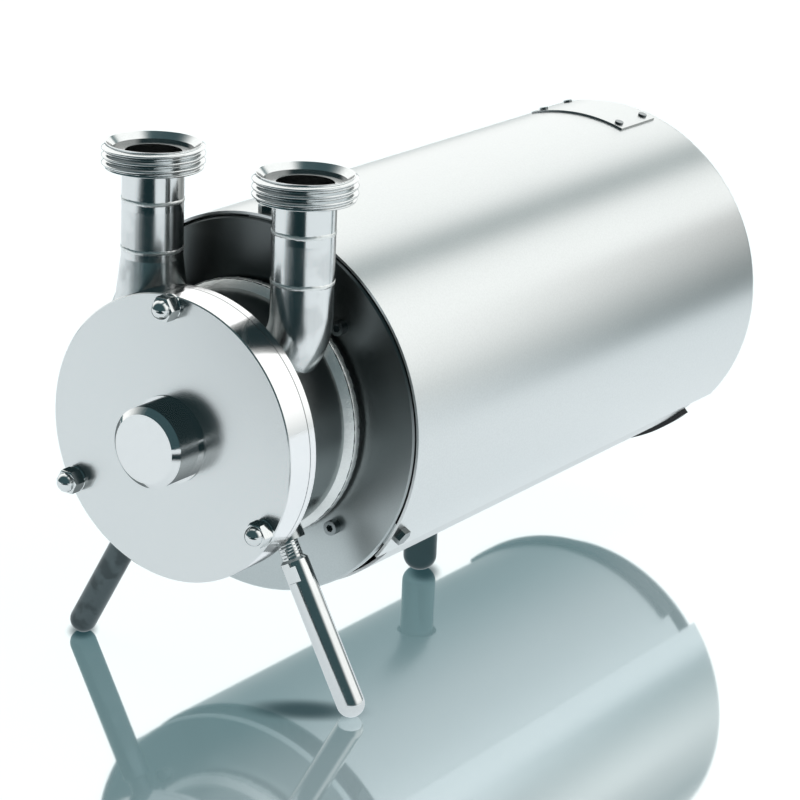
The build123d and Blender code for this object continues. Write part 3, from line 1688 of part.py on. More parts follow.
with BuildPart() as rear_leg:
    leg_base = Plane(
        origin=(0, cover_face_y + rear_leg_depth, 0), x_dir=(0, 0, 1), z_dir=(0, 1, 0)
    )
    leg_radius = rear_leg_diameter / 2
    stud_end = rear_leg_length + rear_leg_neck + rear_leg_engagement
    with BuildSketch(leg_base):
        with BuildLine():
            dome = TangentArc(
                (rear_foot_dome_height, leg_radius),
                (0, rear_foot_flat_diameter / 2),
                tangent=(-1, 0),
            )
            Polyline(
                dome @ 0,
                (rear_leg_length - leg_top_chamfer, leg_radius),
                (rear_leg_length, leg_radius - leg_top_chamfer),
                (rear_leg_length, leg_stud_diameter / 2),
                (stud_end, leg_stud_diameter / 2),
                (stud_end, 0),
                (0, 0),
                dome @ 1,
            )
        make_face()
    revolve(axis=Axis(leg_base.origin, leg_base.x_dir))
rear_leg.part.label = "rear_leg"
export_step(rear_leg.part, "parts/rear_leg.step")

with BuildPart() as rear_leg_pad:
    with BuildSketch(level(pad_bottom, 0, rear_leg_depth)):
        RectangleRounded(pad_width, pad_length, pad_corner_radius)
    extrude(amount=pad_thickness)
    bore(
        pad_bottom,
        pad_bottom + rear_leg_engagement + leg_bore_spare,
        leg_stud_diameter / 2,
        upright(0, rear_leg_depth),
    )
    for screw_section in pad_screw_sections:
        bore(pad_bottom, -frame_pad_height, pad_screw_diameter / 2, screw_section)
rear_leg_pad.part.label = "rear_leg_pad"
export_step(rear_leg_pad.part, "parts/rear_leg_pad.step")

with BuildPart() as pad_screws:
    screw_top = pad_screw_engagement - frame_pad_height
    head_bottom = pad_bottom - pad_screw_head_height
    for screw_section in pad_screw_sections:
        tube(head_bottom, pad_bottom, pad_screw_head_diameter / 2, 0, screw_section)
        tube(pad_bottom, screw_top, pad_screw_diameter / 2, 0, screw_section)
pad_screws.part.label = "pad_screws"
export_step(pad_screws.part, "parts/pad_screws.step")
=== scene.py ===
"""Looks of a sanitary self-priming pump with a shrouded motor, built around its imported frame."""

import logging
import math
from dataclasses import dataclass, field
from enum import Enum
from typing import Sequence, Union

import bmesh
import bpy
from mathutils import Matrix, Vector


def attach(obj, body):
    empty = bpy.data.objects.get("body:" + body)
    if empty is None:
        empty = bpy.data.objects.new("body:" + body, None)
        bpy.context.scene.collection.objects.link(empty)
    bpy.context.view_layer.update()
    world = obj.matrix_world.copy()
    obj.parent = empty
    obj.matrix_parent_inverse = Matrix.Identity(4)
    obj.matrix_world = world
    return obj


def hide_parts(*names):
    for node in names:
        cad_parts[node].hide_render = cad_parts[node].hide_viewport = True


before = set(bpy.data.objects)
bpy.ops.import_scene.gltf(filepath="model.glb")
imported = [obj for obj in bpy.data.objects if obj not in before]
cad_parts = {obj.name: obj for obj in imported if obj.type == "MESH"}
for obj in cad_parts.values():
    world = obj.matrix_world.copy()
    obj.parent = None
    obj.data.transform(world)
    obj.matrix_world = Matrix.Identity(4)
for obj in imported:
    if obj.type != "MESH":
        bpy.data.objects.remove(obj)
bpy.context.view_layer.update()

logging.basicConfig(level=logging.INFO, format="%(message)s")
LOG = logging.getLogger("pump")

MM = 0.001
SHAFT_HEIGHT = 153.0
COVER_FACE_Y = -224.75
NEAR = 0.01
SHAFT_AXIS = Vector((0.0, 1.0, 0.0))
UP = Vector((0.0, 0.0, 1.0))

GRAIN_EDGES = (0.3, 0.7)
GRAIN_SHADE = 0.95
MOTTLE_EDGES = (0.45, 0.62)
MOTTLE_SHADE = 0.45
STEEL_RELIEF = 0.0004
PLAIN_RELIEF = 0.0005
PLAIN_SPREAD = 0.1
SHADE_LOW = 60.0
SHADE_HIGH = 215.0


class Sock:
    """An output socket of a shader tree whose maths reads as Python."""

    def __init__(self, graph: "Graph", socket: bpy.types.NodeSocket) -> None:
        """Keeps the socket and the graph that its maths is added to."""
        self.graph = graph
        self.socket = socket

    def _math(self, operation: str, first: object, second: object) -> "Sock":
        """Adds one Math node.

        Args:
            operation: The name of the node's operation.
            first: The first value or socket.
            second: The second value or socket.

        Returns:
            The node's output.
        """
        return self.graph.node("ShaderNodeMath", {"operation": operation}, {0: first, 1: second})

    def __add__(self, other: object) -> "Sock":
        """Adds a value or socket."""
        return self._math("ADD", self, other)

    def __radd__(self, other: object) -> "Sock":
        """Adds to a value."""
        return self._math("ADD", other, self)

    def __sub__(self, other: object) -> "Sock":
        """Takes a value or socket away."""
        return self._math("SUBTRACT", self, other)

    def __rsub__(self, other: object) -> "Sock":
        """Is taken away from a value."""
        return self._math("SUBTRACT", other, self)

    def __mul__(self, other: object) -> "Sock":
        """Multiplies by a value or socket."""
        return self._math("MULTIPLY", self, other)

    def __rmul__(self, other: object) -> "Sock":
        """Multiplies a value."""
        return self._math("MULTIPLY", other, self)

    def __truediv__(self, other: object) -> "Sock":
        """Divides by a value or socket."""
        return self._math("DIVIDE", self, other)

    def __abs__(self) -> "Sock":
        """Drops the sign."""
        return self._math("ABSOLUTE", self, 0.0)


class Graph:
    """A node tree that is filled by calls."""

    def __init__(self, tree: bpy.types.NodeTree) -> None:
        """Keeps the tree and empties it."""
        self.tree = tree
        self.tree.nodes.clear()

    def node(
        self,
        kind: str,
        settings: dict[str, object],
        sockets: dict[Union[int, str], object],
        out: Union[int, str] = 0,
    ) -> Sock:
        """Adds one node.

        Args:
            kind: The node's type.
            settings: Its properties, set before its sockets.
            sockets: Values or links by the name or number of the input.
            out: The output that is handed back.

        Returns:
            The chosen output.
        """
        made = self.tree.nodes.new(kind)
        for name, value in settings.items():
            setattr(made, name, value)
        for name, value in sockets.items():
            if isinstance(value, Sock):
                self.tree.links.new(value.socket, made.inputs[name])
            else:
                made.inputs[name].default_value = value
        outputs = made.outputs
        return Sock(self, outputs[out]) if len(outputs) else Sock(self, made.inputs[0])

    def mix(self, share: object, first: object, second: object) -> Sock:
        """Mixes two colours.

        Args:
            share: How much of the second colour there is.
            first: The first colour.
            second: The second colour.

        Returns:
            The mixed colour.
        """
        return self.node(
            "ShaderNodeMix", {"data_type": "RGBA"}, {0: share, 6: first, 7: second}, out=2
        )

    def blend(self, share: Sock, first: Sock, second: Sock) -> Sock:
        """Mixes two shaders.

        Args:
            share: How much of the second shader there is.
            first: The first shader.
            second: The second shader.

        Returns:
            The mixed shader.
        """
        return self.node("ShaderNodeMixShader", {}, {0: share, 1: first, 2: second})

    def parts(self, vector: Sock) -> tuple[Sock, ...]:
        """Splits a vector.

        Args:
            vector: The vector.

        Returns:
            Its X, Y and Z.
        """
        split = self.node("ShaderNodeSeparateXYZ", {}, {"Vector": vector}).socket.node
        return tuple(Sock(self, output) for output in split.outputs)

    def step(self, value: Sock, low: float, high: float) -> Sock:
        """Rises smoothly from 0 to 1.

        Args:
            value: What is read.
            low: Where the rise starts.
            high: Where it ends.

        Returns:
            The rise, from 0 to 1.
        """
        return self.node(
            "ShaderNodeMapRange",
            {"interpolation_type": "SMOOTHSTEP"},
            {"Value": value, "From Min": low, "From Max": high},
        )


Colour = tuple[float, float, float]


def paint(colour: Colour) -> tuple[float, float, float, float]:
    """A colour with the alpha that Blender's sockets want."""
    return (*colour, 1.0)


def tinted(colour: Colour, share: float) -> Colour:
    """A colour made darker or lighter by a share."""
    return tuple(part * share for part in colour)


def new_material(name: str) -> tuple[bpy.types.Material, Graph]:
    """Starts a material with an empty node tree.

    Args:
        name: The material's name.

    Returns:
        The material and its graph.
    """
    made = bpy.data.materials.new(name)
    made.use_nodes = True
    return made, Graph(made.node_tree)


class Grain(Enum):
    """The way that a metal surface was finished, as the stretch of its fine marks."""

    BLASTED = (1.0, 1.0, 1.0)
    BRUSHED_UP = (1.0, 1.0, 0.06)


@dataclass(frozen=True)
class Band:
    """A band of a surface between two depths behind the cover's face, with a finish of its own or
    with painted shade.
    """

    start: float
    end: float
    shade: float
    roughness: float
    edge: float = 0.15


@dataclass(frozen=True)
class Steel:
    """A stainless steel finish: its colour, gloss and the marks of its making, with painted shade
    where asked: a darker upper part, and dark bands such as the cover's seam.
    """

    name: str
    colour: Colour = (0.80, 0.825, 0.82)
    roughness: float = 0.3
    spread: float = 0.04
    grain: Grain = Grain.BLASTED
    grain_size: float = 900.0
    bump: float = 0.02
    cloud: float = 0.03
    cloud_size: float = 14.0
    mottle: float = 0.0
    metallic: float = 1.0
    # Share of the colour left at the top by the painted top shade; 1 paints none.
    painted_top_shade: float = 1.0
    bands: tuple[Band, ...] = ()

    def material(self) -> bpy.types.Material:
        """Builds the finish as a node material.

        Returns:
            The material.
        """
        made, graph = new_material(self.name)
        place = graph.node("ShaderNodeTexCoord", {}, {}, out="Object")
        mapped = graph.node("ShaderNodeMapping", {}, {"Vector": place, "Scale": self.grain.value})
        fine = graph.node(
            "ShaderNodeTexNoise", {}, {"Vector": mapped, "Scale": self.grain_size, "Detail": 2.0}
        )
        broad = graph.node(
            "ShaderNodeTexNoise", {}, {"Vector": place, "Scale": self.cloud_size, "Detail": 2.0}
        )
        rough = self.roughness + (fine - 0.5) * self.spread + (broad - 0.5) * self.cloud
        tone = graph.mix(
            graph.step(fine, *GRAIN_EDGES),
            paint(tinted(self.colour, GRAIN_SHADE)),
            paint(self.colour),
        )
        if self.mottle:
            dull = graph.step(broad, *MOTTLE_EDGES) * self.mottle
            tone = graph.mix(dull, tone, paint(tinted(self.colour, MOTTLE_SHADE)))
        # Painted shade: the colour darkens towards the top, standing in for the dark surroundings
        # that the upper surface reflects.
        if self.painted_top_shade < 1.0:
            top_shade_share = graph.step(graph.parts(place)[2], SHADE_LOW * MM, SHADE_HIGH * MM)
            tone = graph.mix(top_shade_share, tone, paint(tinted(self.colour, self.painted_top_shade)))
        for band in self.bands:
            inside = self._inside(graph, place, band)
            tone = graph.mix(inside, tone, paint(tinted((1.0, 1.0, 1.0), band.shade)))
            rough = rough + inside * (band.roughness - self.roughness)
        bump = graph.node(
            "ShaderNodeBump", {}, {"Strength": self.bump, "Distance": STEEL_RELIEF, "Height": fine}
        )
        shader = graph.node(
            "ShaderNodeBsdfPrincipled",
            {},
            {"Base Color": tone, "Metallic": self.metallic, "Roughness": rough, "Normal": bump},
        )
        graph.node("ShaderNodeOutputMaterial", {}, {"Surface": shader})
        return made

    def _inside(self, graph: Graph, place: Sock, band: Band) -> Sock:
        """Marks where a band lies.

        Args:
            graph: The material's graph.
            place: The object coordinates.
            band: The band.

        Returns:
            1 in the band and 0 outside it.
        """
        y, edge = graph.parts(place)[1], band.edge * MM
        low, high = (COVER_FACE_Y + band.start) * MM, (COVER_FACE_Y + band.end) * MM
        rise = graph.step(y, low - edge, low + edge)
        return rise * (1.0 - graph.step(y, high - edge, high + edge))


@dataclass(frozen=True)
class Plain:
    """A finish that isn't bare steel: cast metal, rubber, plastic or wire."""

    name: str
    colour: Colour
    roughness: float = 0.5
    metallic: float = 0.0
    speckle: float = 0.12
    size: float = 260.0
    bump: float = 0.15

    def material(self) -> bpy.types.Material:
        """Builds the finish as a node material.

        Returns:
            The material.
        """
        made, graph = new_material(self.name)
        place = graph.node("ShaderNodeTexCoord", {}, {}, out="Object")
        fine = graph.node(
            "ShaderNodeTexNoise", {}, {"Vector": place, "Scale": self.size, "Detail": 3.0}
        )
        tone = graph.mix(
            graph.step(fine, *GRAIN_EDGES),
            paint(tinted(self.colour, 1.0 - self.speckle)),
            paint(self.colour),
        )
        bump = graph.node(
            "ShaderNodeBump", {}, {"Strength": self.bump, "Distance": PLAIN_RELIEF, "Height": fine}
        )
        shader = graph.node(
            "ShaderNodeBsdfPrincipled",
            {},
            {
                "Base Color": tone,
                "Metallic": self.metallic,
                "Roughness": self.roughness + (fine - 0.5) * PLAIN_SPREAD,
                "Normal": bump,
            },
        )
        graph.node("ShaderNodeOutputMaterial", {}, {"Surface": shader})
        return made


COVER_RIM = Band(0.7, 18.1, 0.97, 0.12)
# Painted shadow: a nearly black line where the hairline gap between cover and flange would be
# shaded.
COVER_SEAM_SHADE = Band(18.1, 18.8, 0.10, 0.4)
FLANGE_RIM = Band(18.8, 24.0, 0.97, 0.14)


@dataclass
class Finishes:
    """Every finish of the pump, built once."""

    satin: Steel = Steel("shroud_steel", roughness=0.30, bump=0.05)
    belly: Steel = Steel("belly_steel", tinted((0.80, 0.825, 0.82), 0.9), 0.32, bump=0.05)
    cover: Steel = Steel("cover_steel", roughness=0.24, bands=(COVER_RIM, COVER_SEAM_SHADE))
    cap: Steel = Steel("hub_cap_steel", (0.86, 0.875, 0.87), 0.10)
    # Painted shade: the disc's darker, teal base and its darker top stand in for the shade and
    # dark surroundings it reflects.
    disc: Steel = Steel(
        "disc_steel_painted_shade", (0.60, 0.65, 0.65), 0.33, 0.01, bump=0.0, cloud=0.02, painted_top_shade=0.3
    )
    drum: Steel = Steel(
        "drum_steel", (0.52, 0.56, 0.56), 0.20, cloud=0.08, cloud_size=60.0, bands=(FLANGE_RIM,)
    )
    pipe: Steel = Steel(
        "pipe_steel", (0.86, 0.88, 0.875), 0.21, 0.10, Grain.BRUSHED_UP, 420.0, 0.10, 0.12,
        cloud_size=70.0, mottle=0.25,
    )
    thread: Steel = Steel("union_steel", (0.84, 0.86, 0.855), 0.14)
    weld: Steel = Steel(
        "weld_steel", (0.97, 0.99, 0.97), 0.34, 0.2, bump=0.5, cloud=0.2, metallic=0.8
    )
    leg: Steel = Steel("leg_steel", (0.86, 0.88, 0.875), 0.13, cloud=0.06, mottle=0.15)
    # Painted shade: a nearly black copy of the leg steel for the left front leg and its thread,
    # standing in for the shade and dark reflections it shows.
    painted_shade_leg: Steel = Steel(
        "far_leg_painted_shade", (0.10, 0.125, 0.13), 0.24, cloud=0.10, cloud_size=90.0, mottle=0.6
    )
    # Painted shade: a very dark copy of the leg steel for the rear leg, standing in for the shade
    # and dark reflections it shows.
    rear_leg: Steel = Steel("rear_leg_painted_shade", (0.045, 0.075, 0.08), 0.22, cloud=0.08, mottle=0.3)
    polished: Steel = Steel("polished_steel", roughness=0.12)
    # Painted shade: a dark copy of the steel for the screws, standing in for the shade in and
    # around their heads.
    painted_shade_screw: Steel = Steel("screw_painted_shade", (0.30, 0.33, 0.335), 0.20)
    iron: Plain = Plain("painted_iron", (0.10, 0.12, 0.13), 0.45)
    aluminium: Plain = Plain("cast_aluminium", (0.62, 0.63, 0.64), 0.45, 1.0)
    rubber: Plain = Plain("black_rubber", (0.02, 0.02, 0.022), 0.6)
    carbon: Plain = Plain("seal_carbon", (0.05, 0.05, 0.055), 0.35)
    seat: Plain = Plain("seal_seat_face", (0.35, 0.34, 0.33), 0.3)
    core: Plain = Plain("core_laminations", (0.30, 0.31, 0.33), 0.5, 1.0)
    copper: Plain = Plain("winding_copper", (0.62, 0.28, 0.12), 0.35, 1.0)
    plastic: Plain = Plain("moulded_plastic", (0.05, 0.055, 0.06), 0.5)
    made: dict[str, bpy.types.Material] = field(default_factory=dict)

    def of(self, kind: str) -> bpy.types.Material:
        """Gives the material of a finish and builds it the first time.

        Args:
            kind: The finish's field.

        Returns:
            The material.
        """
        if kind not in self.made:
            self.made[kind] = getattr(self, kind).material()
        return self.made[kind]


NODE_FINISHES = {
    "satin": ("shroud", "hatch_plate", "rear_grille"),
    "belly": ("shroud_belly",),
    "cover": ("front_cover",),
    "cap": ("hub_cap",),
    "disc": ("shroud_disc",),
    "drum": ("pump_casing", "port_plate", "impeller"),
    "pipe": ("suction_pipe", "discharge_pipe", "suction_reducer", "discharge_elbow"),
    "thread": ("suction_union", "discharge_union"),
    "leg": ("front_leg_right",),
    "painted_shade_leg": ("front_leg_left",),
    "rear_leg": ("rear_leg",),
    "painted_shade_screw": ("disc_screws", "shroud_screws", "hatch_screws"),
    "polished": (
        "cover_studs", "cover_washers", "cap_nuts",
        "grille_screws", "impeller_key", "impeller_nut", "pump_shaft",
        "shaft_screws", "seal_spring", "casing_screws", "flange_bolts", "motor_shaft",
        "bearing_outer_rings", "bearing_inner_rings", "bearing_balls", "bearing_cages",
        "tie_bolts", "pad_screws", "rear_leg_pad", "box_bracket",
    ),
    "rubber": ("cover_o_ring", "seat_o_ring", "cable_grommet", "belly_trim"),
    "carbon": ("seal_ring",),
    "seat": ("seal_seat",),
    "aluminium": ("motor_adapter", "motor_flange", "motor_frame", "rear_shield"),
    "core": ("stator_core", "rotor_core"),
    "copper": ("stator_winding",),
    "plastic": ("cooling_fan", "terminal_box", "terminal_box_lid", "cable_gland"),
    "iron": ("fan_cowl",),
}


class Shape:
    """A mesh that is built in millimetres and becomes a piece that rides on a body."""

    def __init__(self) -> None:
        """Starts with an empty mesh."""
        self.mesh = bmesh.new()

    def turned(self, profile: Sequence[tuple[float, float]], axis: Matrix, steps: int) -> list:
        """Turns a closed outline about an axis.

        Args:
            profile: Points of the outline: height along the axis, radius.
            axis: The place of the axis, with its direction as Z.
            steps: The number of sides.

        Returns:
            The new vertices.
        """
        outline = [self.mesh.verts.new((radius, 0.0, height)) for height, radius in profile]
        edges = [
            self.mesh.edges.new((outline[at - 1], outline[at]))
            for at in range(len(outline))
            if outline[at - 1].co.x > 0.0 or outline[at].co.x > 0.0
        ]
        before = set(self.mesh.verts) - set(outline)
        bmesh.ops.spin(
            self.mesh,
            geom=outline + edges,
            cent=(0.0, 0.0, 0.0),
            axis=(0.0, 0.0, 1.0),
            dvec=(0.0, 0.0, 0.0),
            angle=math.tau,
            steps=steps,
            use_merge=True,
            use_duplicate=False,
        )
        made = [vertex for vertex in self.mesh.verts if vertex not in before]
        bmesh.ops.transform(self.mesh, matrix=axis, verts=made)
        return made

    def hexagon(self, flats: float, height: float, chamfer: float, axis: Matrix) -> None:
        """Adds a hexagonal prism with a chamfered far end.

        Args:
            flats: The width across its flats.
            height: Its height along the axis.
            chamfer: The width of its chamfer.
            axis: The place of its near end, with its direction as Z.
        """
        face = bmesh.ops.create_circle(
            self.mesh, cap_ends=True, segments=6, radius=flats / math.sqrt(3.0)
        )["verts"]
        bottom = face[0].link_faces[0]
        top = bmesh.ops.extrude_face_region(self.mesh, geom=[bottom])["geom"]
        raised = [item for item in top if isinstance(item, bmesh.types.BMVert)]
        bmesh.ops.translate(self.mesh, vec=(0.0, 0.0, height), verts=raised)
        rim = [item for item in top if isinstance(item, bmesh.types.BMEdge)]
        bevelled = bmesh.ops.bevel(
            self.mesh, geom=rim, offset=chamfer, segments=2, profile=0.5,
            affect="EDGES", material=-1, clamp_overlap=True,
        )
        made = set(face) | {vertex for vertex in raised if vertex.is_valid}
        made |= set(bevelled["verts"])
        bmesh.ops.transform(
            self.mesh, matrix=axis, verts=[vertex for vertex in made if vertex.is_valid]
        )

    def piece(
        self,
        name: str,
        look: bpy.types.Material,
        body: str,
        slot: str,
        replaced: Sequence[str] = (),
        crease: float = 32.0,
    ) -> bpy.types.Object:
        """Closes the mesh, hands it over as a piece and reports it.

        Args:
            name: The piece's name.
            look: Its material.
            body: The body that it rides on.
            slot: The record's material slot; not used.
            replaced: The CAD nodes that it stands for.
            crease: The angle in degrees above which an edge stays sharp.

        Returns:
            The piece.
        """
        bmesh.ops.remove_doubles(self.mesh, verts=self.mesh.verts, dist=0.0005)
        bmesh.ops.recalc_face_normals(self.mesh, faces=self.mesh.faces)
        bmesh.ops.scale(self.mesh, vec=(MM, MM, MM), verts=self.mesh.verts)
        mesh = bpy.data.meshes.new(name)
        self.mesh.to_mesh(mesh)
        self.mesh.free()
        mesh.polygons.foreach_set("use_smooth", [True] * len(mesh.polygons))
        mesh.set_sharp_from_angle(angle=math.radians(crease))
        mesh.materials.append(look)
        made = bpy.data.objects.new(name, mesh)
        bpy.context.scene.collection.objects.link(made)
        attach(made, body)
        if replaced:
            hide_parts(*replaced)
        LOG.info("%s: %d faces on %s", name, len(mesh.polygons), body)
        return made


def along(place: Sequence[float], direction: Vector, twist: float = 0.0) -> Matrix:
    """The place of an axis.

    Args:
        place: Its start in millimetres.
        direction: Its direction.
        twist: A turn about it in degrees.

    Returns:
        The matrix that moves what is built about Z to it.
    """
    turn = direction.to_track_quat("Z", "Y").to_matrix().to_4x4()
    return Matrix.Translation(place) @ turn @ Matrix.Rotation(math.radians(twist), 4, "Z")


@dataclass
class Port:
    """A threaded dairy union on its pipe, with the beads of the pipe's welds. Sizes in mm."""

    name: str
    side: int
    spacing: float = 104.0
    depth: float = 48.0
    top: float = 150.0
    neck: float = 113.0
    pipe_radius: float = 17.5
    bore_radius: float = 16.0
    thread_radius: float = 29.0
    thread_depth: float = 2.4
    thread_pitch: float = 4.233
    thread_low: float = 135.6
    thread_high: float = 149.7
    thread_fade: float = 1.3
    lip_rise: float = 0.3
    foot_rise: float = 0.4
    underside: float = 2.2
    gasket_radius: float = 23.0
    gasket_floor: float = 145.0
    cone_floor: float = 146.4
    mouth_radius: float = 26.4
    lip_radius: float = 27.0
    row: float = 0.15
    columns: int = 120
    crease: float = 27.0
    bead_heights: tuple[float, ...] = (118.2, 90.3)
    bead_radius: float = 1.5
    bead_flatness: float = 0.5
    bead_stand: float = 0.35
    bead_sides: int = 10
    bead_columns: int = 72
    bead_swings: tuple[tuple[float, int], ...] = ((0.10, 23), (0.06, 41))
    bead_rise: tuple[float, int] = (0.18, 5)

    def axis(self) -> Matrix:
        """The pipe's axis, with heights counted from the shaft."""
        place = (self.side * self.spacing / 2, COVER_FACE_Y + self.depth, SHAFT_HEIGHT)
        return along(place, UP)

    def _thread(self, height: float, turn: float) -> float:
        """The radius of the thread at a place.

        Args:
            height: The height above the shaft.
            turn: The angle about the pipe in turns.

        Returns:
            The radius.
        """
        phase = (height / self.thread_pitch - turn) % 1.0
        ridge = 0.5 - 0.5 * math.cos(math.tau * phase)
        foot = min(1.0, max(0.0, (height - self.thread_low) / self.thread_fade))
        lip = min(1.0, max(0.0, (self.thread_high - height) / self.thread_fade))
        root = self.thread_radius - self.thread_depth
        ends = self.lip_rise * (1.0 - lip) + self.foot_rise * (1.0 - foot)
        return root + self.thread_depth * ridge * foot * lip + ends

    def union(self, look: bpy.types.Material) -> None:
        """Turns the union and cuts its thread.

        Args:
            look: Its material.
        """
        rows = int((self.thread_high - self.thread_low) / self.row)
        step = (self.thread_high - self.thread_low) / rows
        ridge = [(self.thread_high - at * step, self.lip_radius) for at in range(rows + 1)]
        profile = [
            (self.neck, self.bore_radius),
            (self.gasket_floor, self.bore_radius),
            (self.gasket_floor, self.gasket_radius),
            (self.cone_floor, self.gasket_radius),
            (self.top, self.mouth_radius),
            (self.top, self.lip_radius),
            *ridge,
            (self.thread_low - self.underside, self.pipe_radius),
            (self.neck, self.pipe_radius),
        ]
        shape = Shape()
        axis = self.axis()
        back = axis.inverted()
        for vertex in shape.turned(profile, axis, self.columns):
            own = back @ vertex.co
            radius = math.hypot(own.x, own.y)
            threaded = self.thread_low - NEAR < own.z < self.thread_high + NEAR
            if not threaded or radius < self.mouth_radius:
                continue
            cut = self._thread(own.z, math.atan2(own.y, own.x) / math.tau)
            vertex.co = axis @ Vector((own.x * cut / radius, own.y * cut / radius, own.z))
        replaced = (f"{self.name}_union",)
        shape.piece(
            f"{self.name}_threaded_union", look, "base", "polished", replaced, self.crease
        )

    def beads(self, look: bpy.types.Material) -> None:
        """Lays the weld beads around the pipe.

        Args:
            look: Their material.
        """
        shape = Shape()
        axis = self.axis()
        back = axis.inverted()
        depth = self.bead_radius * self.bead_flatness
        centre = self.pipe_radius + self.bead_stand - depth
        (wide, waves), (fine, ripples) = self.bead_swings
        lift, bends = self.bead_rise
        for number, height in enumerate(self.bead_heights):
            turns = [math.tau * at / self.bead_sides for at in range(self.bead_sides)]
            outline = [
                (height + self.bead_radius * math.sin(turn), centre + depth * math.cos(turn))
                for turn in turns
            ]
            for vertex in shape.turned(outline, axis, self.bead_columns):
                own = back @ vertex.co
                turn = math.atan2(own.y, own.x)
                swing = wide * math.sin(waves * turn + number) + fine * math.sin(ripples * turn)
                rise = lift * math.sin(bends * turn + 2 * number)
                spread = 1.0 + swing / math.hypot(own.x, own.y)
                own = Vector((own.x * spread, own.y * spread, own.z + rise))
                vertex.co = axis @ own
        shape.piece(f"{self.name}_weld_beads", look, "base", "polished")


@dataclass
class Casing:
    """The weld around the casing's rear ring and the hardware that holds the cover."""

    drum_radius: float = 71.0
    weld_outline: tuple[tuple[float, float], ...] = (
        (65.1, 70.7), (65.8, 71.5), (68.7, 74.95), (69.9, 75.85), (72.4, 75.75),
        (73.7, 75.45), (73.7, 70.7),
    )
    weld_columns: int = 180
    weld_crease: float = 60.0
    weld_swings: tuple[tuple[float, int], ...] = ((0.12, 67), (0.10, 29))
    stud_circle: float = 76.0
    nut_flats: float = 13.0
    nut_height: float = 7.5
    nut_chamfer: float = 0.9
    dome_radius: float = 5.6
    dome_sink: float = 0.6
    dome_steps: int = 8
    dome_columns: int = 40
    washer_radius: float = 7.25
    washer_bore: float = 4.0
    washer_thickness: float = 1.6
    washer_chamfer: float = 0.3
    washer_columns: int = 48
    nut_angles: tuple[float, ...] = (90.0, 210.0, 330.0)

    def rear_weld(self, look: bpy.types.Material) -> None:
        """Lays the rough weld around the rear ring.

        Args:
            look: Its material.
        """
        shape = Shape()
        (wide, waves), (fine, ripples) = self.weld_swings
        axis = along((0.0, COVER_FACE_Y, SHAFT_HEIGHT), SHAFT_AXIS)
        back = axis.inverted()
        for vertex in shape.turned(self.weld_outline, axis, self.weld_columns):
            own = back @ vertex.co
            turn = math.atan2(own.y, own.x)
            radius = math.hypot(own.x, own.y)
            swing = wide * math.sin(waves * turn) + fine * math.sin(ripples * turn + own.z)
            spread = 1.0 + swing / radius if radius > self.drum_radius else 1.0
            vertex.co = axis @ Vector((own.x * spread, own.y * spread, own.z))
        shape.piece("casing_rear_weld", look, "base", "polished", (), self.weld_crease)

    def cover_nuts(self, look: bpy.types.Material) -> None:
        """Makes the cap nuts and washers on the cover's studs.

        Args:
            look: Their material.
        """
        nuts, washers = Shape(), Shape()
        for angle in self.nut_angles:
            turn = math.radians(angle)
            place = (
                self.stud_circle * math.cos(turn),
                COVER_FACE_Y,
                SHAFT_HEIGHT + self.stud_circle * math.sin(turn),
            )
            axis = along(place, -SHAFT_AXIS, 90.0)
            washers.turned(
                [
                    (0.0, self.washer_bore),
                    (0.0, self.washer_radius),
                    (self.washer_thickness - self.washer_chamfer, self.washer_radius),
                    (self.washer_thickness, self.washer_radius - self.washer_chamfer),
                    (self.washer_thickness, self.washer_bore),
                ],
                axis,
                self.washer_columns,
            )
            seat = axis @ Matrix.Translation((0.0, 0.0, self.washer_thickness))
            nuts.hexagon(self.nut_flats, self.nut_height, self.nut_chamfer, seat)
            base = self.nut_height - self.dome_sink
            dome = [
                (
                    base + self.dome_radius * math.sin(math.pi / 2 * at / self.dome_steps),
                    self.dome_radius * math.cos(math.pi / 2 * at / self.dome_steps),
                )
                for at in range(self.dome_steps)
            ]
            tip = (base + self.dome_radius, 0.0)
            nuts.turned([(base, 0.0), *dome, tip], seat, self.dome_columns)
        nuts.piece("cover_cap_nuts", look, "base", "polished", ("cap_nuts",))
        washers.piece("cover_nut_washers", look, "base", "polished", ("cover_washers",))


@dataclass
class LegThreads:
    """The threads on the bare necks of the front legs."""

    foot_offset: float = 96.507
    foot_height: float = 7.6
    depth: float = 44.0
    tilt: float = 29.0
    low: float = 87.2
    high: float = 96.6
    bore: float = 4.1
    root: float = 5.6
    crest: float = 6.3
    pitch: float = 1.75
    columns: int = 48
    rows_per_turn: int = 8
    crease: float = 40.0

    def thread(self, side: int, body: str, name: str, look: bpy.types.Material) -> None:
        """Cuts one neck's thread as a sleeve around the neck.

        Args:
            side: -1 for the left leg, 1 for the right leg.
            body: The leg's body.
            name: The leg's name.
            look: Its material.
        """
        lean = math.radians(self.tilt)
        place = (side * self.foot_offset, COVER_FACE_Y + self.depth, self.foot_height)
        axis = along(place, Vector((-side * math.sin(lean), 0.0, math.cos(lean))))
        back = axis.inverted()
        rows = int((self.high - self.low) / self.pitch * self.rows_per_turn)
        step = (self.high - self.low) / rows
        outer = [(self.high - at * step, self.crest) for at in range(rows + 1)]
        shape = Shape()
        profile = [(self.low, self.bore), (self.high, self.bore), *outer]
        for vertex in shape.turned(profile, axis, self.columns):
            own = back @ vertex.co
            radius = math.hypot(own.x, own.y)
            if radius < self.root:
                continue
            phase = (own.z / self.pitch - math.atan2(own.y, own.x) / math.tau) % 1.0
            cut = self.crest - (self.crest - self.root) * abs(2.0 * phase - 1.0)
            vertex.co = axis @ Vector((own.x * cut / radius, own.y * cut / radius, own.z))
        shape.piece(f"{name}_neck_thread", look, body, "polished", (), self.crease)


